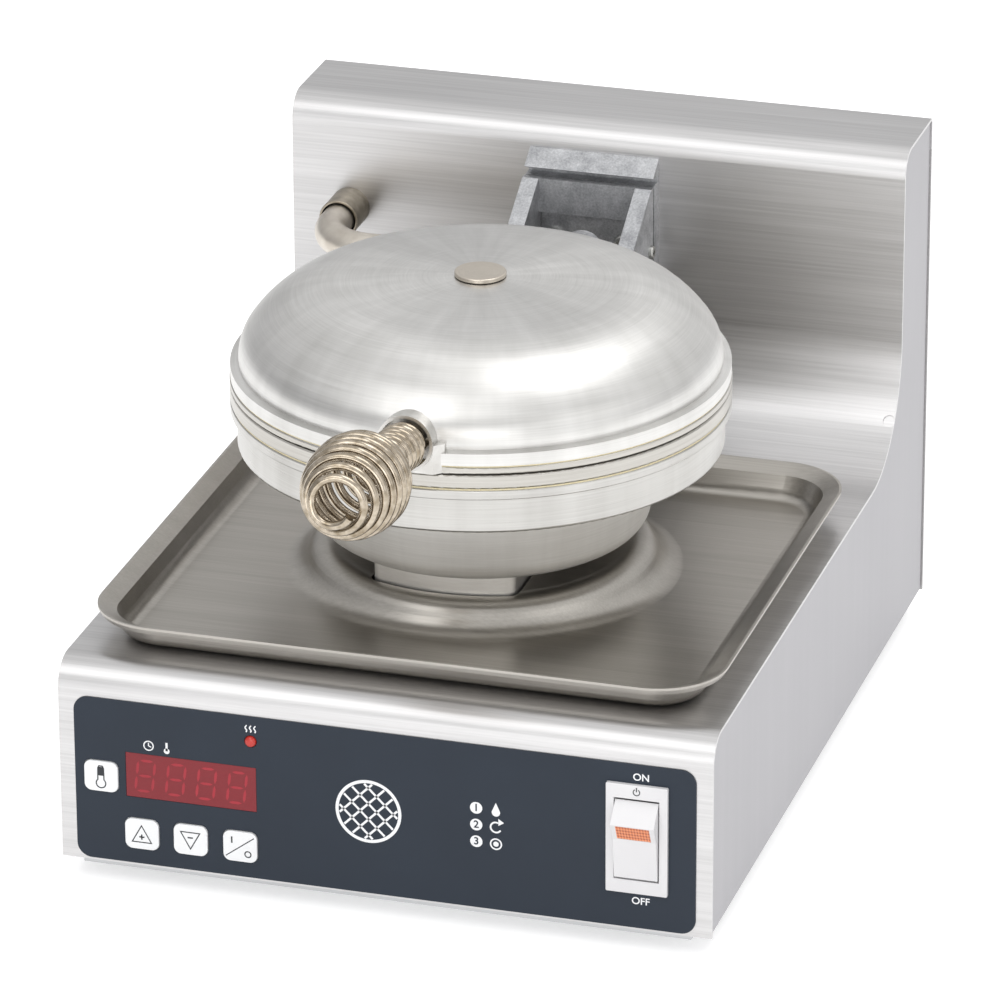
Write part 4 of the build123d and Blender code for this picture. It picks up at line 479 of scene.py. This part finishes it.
# Marks printed on the panel, keys and switch: places in millimetres across and above the lower edge
PRINT_THICK = 0.04 * MM
PRINT_GAP = 0.01 * MM
EDGE_HEIGHT = 10.0
WAFFLE_X, WAFFLE_Z, WAFFLE_RADIUS, WAFFLE_RIM, WAFFLE_BAR = -5.5, 36.5, 13.5, 1.3, 0.9
WAFFLE_ROWS = (-7.2, -2.4, 2.4, 7.2)
STEP_ROWS = (44.0, 36.8, 29.6)
STEP_DOT_X, STEP_ICON_X, STEP_RADIUS = 38.5, 46.5, 2.5
SWITCH_MARK_X, SWITCH_MARK_Z = 103.6, 60.0
SWITCH_WORD_X, ON_Z, OFF_Z, WORD_SIZE = 105.0, 65.6, 12.6, 4.2
NUMBER_SIZE = 4.4
NUMBER_LIFT = 0.045 * MM
CLOCK_X, CLOCK_Z = -96.0, 53.0
BULB_X, BULB_Z = -88.5, 51.6
WAVE_PLACES = (-55.4, -53.6, -51.8)
WAVE_Z = 64.3
DIGITS = 4
DIGIT_LEAN = 0.12


def on_front(name, finish, body, face_y, make):
    """Makes a flat mark: make fills a mesh in X and Z, which is then laid on a face that looks forward."""
    mesh = bmesh.new()
    make(mesh)
    for point in mesh.verts:
        point.co = Vector((point.co.x, face_y - PRINT_GAP, point.co.z))
    bmesh.ops.recalc_face_normals(mesh, faces=mesh.faces)
    for face in mesh.faces:
        if face.normal.y > 0:
            face.normal_flip()
    lifted = bmesh.ops.extrude_face_region(mesh, geom=list(mesh.faces))
    for point in [g for g in lifted["geom"] if isinstance(g, bmesh.types.BMVert)]:
        point.co.y -= PRINT_THICK
    bmesh.ops.recalc_face_normals(mesh, faces=mesh.faces)
    data = bpy.data.meshes.new(name)
    mesh.to_mesh(data)
    mesh.free()
    piece = bpy.data.objects.new(name, data)
    bpy.context.scene.collection.objects.link(piece)
    data.materials.append(finish)
    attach(piece, body)
    return piece


def ring(mesh, x, z, outer, inner=0.0, start=0.0, sweep=360.0, steps=40):
    """A flat ring, disc or arc, in millimetres."""
    count = max(4, int(steps * sweep / 360))
    whole = sweep >= 359.9
    angles = [radians(start + sweep * i / count) for i in range(count if whole else count + 1)]
    rim = [mesh.verts.new(((x + outer * cos(a)) * MM, 0, (z + outer * sin(a)) * MM)) for a in angles]
    if inner <= 0:
        mesh.faces.new(rim)
        return
    well = [mesh.verts.new(((x + inner * cos(a)) * MM, 0, (z + inner * sin(a)) * MM)) for a in angles]
    last = len(rim) if whole else len(rim) - 1
    for i in range(last):
        j = (i + 1) % len(rim)
        mesh.faces.new((rim[i], rim[j], well[j], well[i]))


def shape(mesh, *points):
    """A flat outline through points, in millimetres."""
    mesh.faces.new([mesh.verts.new((x * MM, 0, z * MM)) for x, z in points])


def stroke(mesh, width, *points, closed=False):
    """A line of even width with mitred corners, in millimetres."""
    places = [Vector(p) for p in points]
    count = len(places)
    left, right = [], []
    for i, here in enumerate(places):
        before = places[i - 1] if (i or closed) else None
        after = places[(i + 1) % count] if (i < count - 1 or closed) else None
        ways = [(b - a).normalized() for a, b in ((before, here), (here, after))
                if a is not None and b is not None]
        normals = [Vector((-w.y, w.x)) for w in ways]
        normal = sum(normals, Vector((0, 0))).normalized()
        reach = width / 2 / max(0.35, normal.dot(normals[0]))
        out_x, out_z = normal.x * reach, normal.y * reach
        left.append(mesh.verts.new(((here.x + out_x) * MM, 0, (here.y + out_z) * MM)))
        right.append(mesh.verts.new(((here.x - out_x) * MM, 0, (here.y - out_z) * MM)))
    for i in range(count if closed else count - 1):
        j = (i + 1) % count
        mesh.faces.new((left[i], left[j], right[j], right[i]))


def words(name, text, size, x, z, face_y, finish, body, middle=True, weight=0.0):
    """Short generic lettering on a face that looks forward."""
    curve = bpy.data.curves.new(name, "FONT")
    curve.body = text
    curve.size = size * MM
    curve.align_x = "CENTER" if middle else "LEFT"
    curve.align_y = "CENTER"
    curve.offset = weight * MM
    curve.extrude = PRINT_THICK / 2
    holder = bpy.data.objects.new(name, curve)
    bpy.context.scene.collection.objects.link(holder)
    place = Matrix.Translation((x * MM, face_y - PRINT_THICK / 2, z * MM))
    holder.matrix_world = place @ Matrix.Rotation(pi / 2, 4, "X")
    return keep_mesh(holder, name, finish, body, False)


def up(z):
    """A height above the housing's lower edge as a height above the table, in millimetres."""
    return z + EDGE_HEIGHT


def waffle_mark(mesh):
    """A plain round waffle: a rim with a slanted lattice inside it."""
    x, z, radius = WAFFLE_X, up(WAFFLE_Z), WAFFLE_RADIUS
    ring(mesh, x, z, radius, radius - WAFFLE_RIM, steps=64)
    for turn in (45, 135):
        way = Vector((cos(radians(turn)), sin(radians(turn))))
        off = Vector((-way.y, way.x))
        for step in WAFFLE_ROWS:
            reach = sqrt((radius - 1.6) ** 2 - step ** 2)
            a = Vector((x, z)) + off * step - way * reach
            b = Vector((x, z)) + off * step + way * reach
            stroke(mesh, WAFFLE_BAR, a, b)


def step_marks(mesh):
    """A drop, a turning arrow and a pressed button beside their numbers."""
    x = STEP_ICON_X
    drop = [(x + 1.7 * cos(radians(a)), up(43.0) + 1.7 * sin(radians(a))) for a in range(-215, 36, 12)]
    shape(mesh, *drop, (x, up(47.2)))
    ring(mesh, x, up(36.6), STEP_RADIUS, 1.8, 60, 270)
    shape(mesh, (x + 1.0, up(40.4)), (x + 1.0, up(37.4)), (x + 3.3, up(38.9)))
    ring(mesh, x, up(29.4), STEP_RADIUS, 1.9)
    ring(mesh, x, up(29.4), 1.1)


def dots(mesh):
    """The round grounds of the step numbers."""
    for z in STEP_ROWS:
        ring(mesh, STEP_DOT_X, up(z), STEP_RADIUS)


def power_mark(mesh):
    """A small power symbol: a broken ring and an upright bar."""
    x = SWITCH_MARK_X
    ring(mesh, x, up(SWITCH_MARK_Z), 1.5, 1.1, 120, 300)
    stroke(mesh, 0.45, (x, up(SWITCH_MARK_Z + 0.2)), (x, up(SWITCH_MARK_Z + 2.0)))


def clock_mark(mesh):
    """A clock face and a thermometer over the display."""
    x, z = CLOCK_X, CLOCK_Z
    ring(mesh, x, up(z), 2.2, 1.7)
    stroke(mesh, 0.45, (x, up(z + 1.3)), (x, up(z)), (x + 1.1, up(z - 0.5)))
    ring(mesh, BULB_X, up(BULB_Z), 1.2)
    stroke(mesh, 0.9, (BULB_X, up(BULB_Z)), (BULB_X, up(BULB_Z + 3.6)))


def heat_mark(mesh):
    """Three rising waves over the lamp."""
    for x in WAVE_PLACES:
        stroke(mesh, 0.5, *[(x + 0.35 * sin(i * 1.05), up(WAVE_Z + i * 0.42)) for i in range(8)])


on_front("panel_waffle_mark", PRINT, "base", LABEL_Y, waffle_mark)
on_front("panel_step_marks", PRINT, "base", LABEL_Y, step_marks)
on_front("panel_step_dots", PRINT, "base", LABEL_Y, dots)
on_front("panel_display_marks", PRINT, "base", LABEL_Y, clock_mark)
on_front("panel_heat_mark", PRINT, "base", LABEL_Y, heat_mark)
for number, z in zip("123", STEP_ROWS):
    words("panel_number_" + number, number, NUMBER_SIZE, STEP_DOT_X, up(z), LABEL_Y - NUMBER_LIFT,
          FILM, "base", weight=0.08)
words("panel_on", "ON", WORD_SIZE, SWITCH_WORD_X, up(ON_Z), LABEL_Y, PRINT, "base",
      weight=0.06)
words("panel_off", "OFF", WORD_SIZE, SWITCH_WORD_X, up(OFF_Z), LABEL_Y, PRINT, "base",
      weight=0.06)
BEZEL_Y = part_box("switch_housing")[0][1]
on_front("bezel_mark", DARK_PRINT, "base", BEZEL_Y, power_mark)


def key_face(name):
    """The middle of a key across, its front face, and its middle in height."""
    low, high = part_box(name)
    return (low[0] + high[0]) / 2 / MM, low[1], (low[2] + high[2]) / 2 / MM


def thermometer(mesh, x, z):
    """A thermometer: the outline of its bulb and stem, and a filled stem."""
    bulb = [(x + 2.0 * cos(radians(a)), z - 2.9 + 2.0 * sin(radians(a))) for a in range(130, 411, 20)]
    tip = [(x + 1.2, z + 3.6), (x + 0.7, z + 4.6), (x - 0.7, z + 4.6), (x - 1.2, z + 3.6)]
    stroke(mesh, 0.5, *bulb, *tip, closed=True)
    stroke(mesh, 2.0, (x, z + 0.4), (x, z + 4.2))


def triangle(mesh, x, z, sign):
    """A triangle that points up or down, with a bar inside."""
    stroke(mesh, 0.45, (x - 4.0, z - 3.4 * sign), (x + 4.0, z - 3.4 * sign), (x, z + 3.8 * sign),
           closed=True)
    stroke(mesh, 0.6, (x - 1.1, z - 1.1 * sign), (x + 1.1, z - 1.1 * sign))


def triangle_up(mesh, x, z):
    triangle(mesh, x, z, 1)
    stroke(mesh, 0.6, (x, z - 2.2), (x, z))


def triangle_down(mesh, x, z):
    triangle(mesh, x, z, -1)


def start_mark(mesh, x, z):
    """A slanted line between a bar and a ring."""
    stroke(mesh, 0.4, (x - 5.9, z - 4.4), (x + 5.9, z + 4.4))
    stroke(mesh, 0.6, (x - 3.3, z + 1.4), (x - 3.3, z + 4.2))
    ring(mesh, x + 3.3, z - 2.9, 1.5, 1.0)


KEY_MARKS = {"key_temperature": ("temperature_key", thermometer), "key_up": ("up_key", triangle_up),
             "key_down": ("down_key", triangle_down), "key_start": ("start_key", start_mark)}
for key, (body, mark) in KEY_MARKS.items():
    key_x, key_y, key_z = key_face(key)
    on_front(key + "_mark", DARK_PRINT, body, key_y,
             lambda mesh, m=mark, x=key_x, z=key_z: m(mesh, x, z))


def digit_row():
    """The display's unlit digits: one bar set out seven times for each of four leaning digits."""
    group = bpy.data.node_groups.new("digit_bars", "GeometryNodeTree")
    sizes = {"Pitch": 12.7 * MM, "Width": 7.0 * MM, "Height": 13.2 * MM, "Bar": 1.25 * MM,
             "Gap": 0.35 * MM}
    group.interface.new_socket("Bar Mesh", in_out="INPUT", socket_type="NodeSocketGeometry")
    for name in sizes:
        group.interface.new_socket(name, in_out="INPUT", socket_type="NodeSocketFloat")
    group.interface.new_socket("Digits", in_out="INPUT", socket_type="NodeSocketInt")
    group.interface.new_socket("Finish", in_out="INPUT", socket_type="NodeSocketMaterial")
    group.interface.new_socket("Geometry", in_out="OUTPUT", socket_type="NodeSocketGeometry")
    tree = Tree(group)
    given = group.nodes.new("NodeGroupInput")
    size = {name: Value(tree, given.outputs[name]) for name in sizes}
    bars = []
    half = size["Height"] / 4.0
    plans = [(0.0, 0.0, 0.0, 0), (0.0, 2.0, 0.0, 0), (0.0, -2.0, 0.0, 0),
             (0.5, 1.0, pi / 2, 1), (-0.5, 1.0, pi / 2, 1),
             (0.5, -1.0, pi / 2, 1), (-0.5, -1.0, pi / 2, 1)]
    for across, level, turn, upright in plans:
        full = half * 2.0 if upright else size["Width"]
        reach = full - size["Gap"] - size["Bar"] * (0.4 if upright else 1.0)
        bar = tree.add("GeometryNodeMeshCylinder", {"fill_type": "NGON"},
                       {"Vertices": 6, "Radius": 0.5, "Depth": 1.0}, "Mesh")
        scale = tree.add("ShaderNodeCombineXYZ", None, [reach, size["Bar"], PRINT_THICK])
        bar = tree.add("GeometryNodeTransform", None, {"Geometry": bar, "Scale": scale})
        spot = tree.add("ShaderNodeCombineXYZ", None, [size["Width"] * across, half * level, 0.0])
        bars.append(tree.add("GeometryNodeTransform", None, {"Geometry": bar, "Translation": spot,
                                                            "Rotation": (0, 0, turn)}))
    join = group.nodes.new("GeometryNodeJoinGeometry")
    for bar in bars:
        group.links.new(bar.socket, join.inputs[0])
    offset = tree.add("ShaderNodeCombineXYZ", None, [size["Pitch"], 0.0, 0.0])
    first = tree.add("ShaderNodeCombineXYZ", None, [size["Pitch"] * -1.5, 0.0, 0.0])
    line = tree.add("GeometryNodeMeshLine", None, {"Count": Value(tree, given.outputs["Digits"]),
                                                   "Start Location": first, "Offset": offset})
    placed = tree.add("GeometryNodeInstanceOnPoints", None,
                      {"Points": line, "Instance": Value(tree, join.outputs[0])})
    placed = tree.add("GeometryNodeRealizeInstances", None, [placed])
    placed = tree.add("GeometryNodeSetMaterial", None,
                      {"Geometry": placed, "Material": Value(tree, given.outputs["Finish"])})
    out_node = group.nodes.new("NodeGroupOutput")
    group.links.new(placed.socket, out_node.inputs["Geometry"])
    low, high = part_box("display_window")
    holder = bpy.data.objects.new("digit_maker", bpy.data.meshes.new("digit_maker"))
    bpy.context.scene.collection.objects.link(holder)
    lean = Matrix.Identity(4)
    lean[0][1] = DIGIT_LEAN
    middle = Vector(((low[0] + high[0]) / 2, low[1], (low[2] + high[2]) / 2))
    change = holder.modifiers.new("digit_bars", "NODES")
    change.node_group = group
    for item in group.interface.items_tree:
        if item.in_out == "INPUT" and item.name in sizes:
            change[item.identifier] = sizes[item.name]
        elif item.in_out == "INPUT" and item.name == "Digits":
            change[item.identifier] = DIGITS
        elif item.in_out == "INPUT" and item.name == "Finish":
            change[item.identifier] = DIGIT_RED
    piece = keep_mesh(holder, "unlit_digit_bars", DIGIT_RED, "base", False)
    piece.data.transform(Matrix.Translation(middle) @ Matrix.Rotation(pi / 2, 4, "X") @ lean)
    return piece


digit_row()


# Floor, light and camera
FLOOR_REACH = 6.0
FLOOR_TONE = 0.86
FLOOR_GLOW = 0.42
SKY_LOW = (0.42, 0.42, 0.43, 1)
SKY_HIGH = (1, 1, 1, 1)
SKY_STRENGTH = 0.95
CAMERA_TURN, CAMERA_RISE, CAMERA_ROLL = 16.796, 23.143, -0.257
CAMERA_PLACE = Vector((755.9, -2350.7, 1224.3)) * MM
CAMERA_LENS = 252.34


def studio():
    """A pale floor and a plain sky, both seen as white by the camera."""
    floor_mesh = bpy.data.meshes.new("studio_floor")
    reach = FLOOR_REACH
    floor_mesh.from_pydata([(-reach, -reach, 0), (reach, -reach, 0), (reach, reach, 0),
                            (-reach, reach, 0)], [],
                           [(0, 1, 2, 3)])
    floor = bpy.data.objects.new("studio_floor", floor_mesh)
    bpy.context.scene.collection.objects.link(floor)
    paint = bpy.data.materials.new("floor_white")
    paint.use_nodes = True
    tree = Tree(paint.node_tree)
    paint.node_tree.nodes.clear()
    matte = tree.add("ShaderNodeBsdfDiffuse", None, {"Color": (FLOOR_TONE, FLOOR_TONE, FLOOR_TONE, 1)})
    glow = tree.add("ShaderNodeEmission", None, {"Color": (1, 1, 1, 1), "Strength": FLOOR_GLOW})
    rays = paint.node_tree.nodes.new("ShaderNodeLightPath")
    seen = Value(tree, rays.outputs["Is Camera Ray"]) + Value(tree, rays.outputs["Is Glossy Ray"])
    none = tree.add("ShaderNodeEmission", None, {"Color": (0, 0, 0, 1), "Strength": 0.0})
    extra = tree.add("ShaderNodeMixShader", None, [seen.clipped(), none, glow])
    both = tree.add("ShaderNodeAddShader", None, [matte, extra])
    out = paint.node_tree.nodes.new("ShaderNodeOutputMaterial")
    paint.node_tree.links.new(both.socket, out.inputs["Surface"])
    floor_mesh.materials.append(paint)

    world = bpy.data.worlds.new("studio")
    bpy.context.scene.world = world
    world.use_nodes = True
    sky = Tree(world.node_tree)
    world.node_tree.nodes.clear()
    way = sky.add("ShaderNodeTexCoord", output="Generated")
    split = world.node_tree.nodes.new("ShaderNodeSeparateXYZ")
    world.node_tree.links.new(way.socket, split.inputs[0])
    height = Value(sky, split.outputs[2])
    side = Value(sky, split.outputs[0])
    level = (height * 0.9 + side * 0.32 + 0.30).clipped()
    tone = sky.add("ShaderNodeMix", {"data_type": "RGBA"},
                   {0: level, 6: SKY_LOW, 7: SKY_HIGH}, 2)
    light = sky.add("ShaderNodeBackground", None, {"Color": tone, "Strength": SKY_STRENGTH})
    white = sky.add("ShaderNodeBackground", None, {"Color": (1, 1, 1, 1), "Strength": 1.0})
    rays = world.node_tree.nodes.new("ShaderNodeLightPath")
    mixed = sky.add("ShaderNodeMixShader", None,
                    [Value(sky, rays.outputs["Is Camera Ray"]), light, white])
    out = world.node_tree.nodes.new("ShaderNodeOutputWorld")
    world.node_tree.links.new(mixed.socket, out.inputs["Surface"])


def lamp(name, place, aim, width, height, power):
    """An area lamp that looks at a point: metres and watts."""
    data = bpy.data.lights.new(name, "AREA")
    data.shape = "RECTANGLE"
    data.size, data.size_y = width, height
    data.energy = power
    lamp_object = bpy.data.objects.new(name, data)
    bpy.context.scene.collection.objects.link(lamp_object)
    lamp_object.location = place
    lamp_object.rotation_euler = (Vector(aim) - Vector(place)).to_track_quat("-Z", "Y").to_euler()


studio()
lamp("key_softbox", (-0.5, -1.5, 1.9), (0, 0, 0.12), 1.3, 1.4, 9)
lamp("top_softbox", (0.7, 0.3, 2.2), (0, 0, 0.1), 1.4, 1.2, 11)
lamp("right_fill", (2.0, -0.9, 0.9), (0, 0, 0.12), 1.6, 1.6, 4)
lamp("front_fill", (0.2, -2.2, 0.5), (0, 0, 0.1), 1.8, 0.8, 10)


def photo_camera():
    """The camera at the photograph's angle, placed from the front face and the lower edge."""
    turn, rise, roll = radians(CAMERA_TURN), radians(CAMERA_RISE), radians(CAMERA_ROLL)
    place = CAMERA_PLACE + Vector((0, FRONT_Y, BASE_EDGE))
    back = Vector((sin(turn) * cos(rise), -cos(turn) * cos(rise), sin(rise)))
    level = Vector((cos(turn), sin(turn), 0))
    over = back.cross(level)
    right = level * cos(roll) + over * sin(roll)
    top = over * cos(roll) - level * sin(roll)
    data = bpy.data.cameras.new("photo_camera")
    data.sensor_width = 36.0
    data.lens = CAMERA_LENS
    data.clip_end = 50.0
    camera = bpy.data.objects.new("photo_camera", data)
    bpy.context.scene.collection.objects.link(camera)
    camera.matrix_world = Matrix.Translation(place) @ Matrix((right, top, back)).transposed().to_4x4()
    bpy.context.scene.camera = camera


photo_camera()
bpy.context.scene.view_settings.view_transform = "Standard"
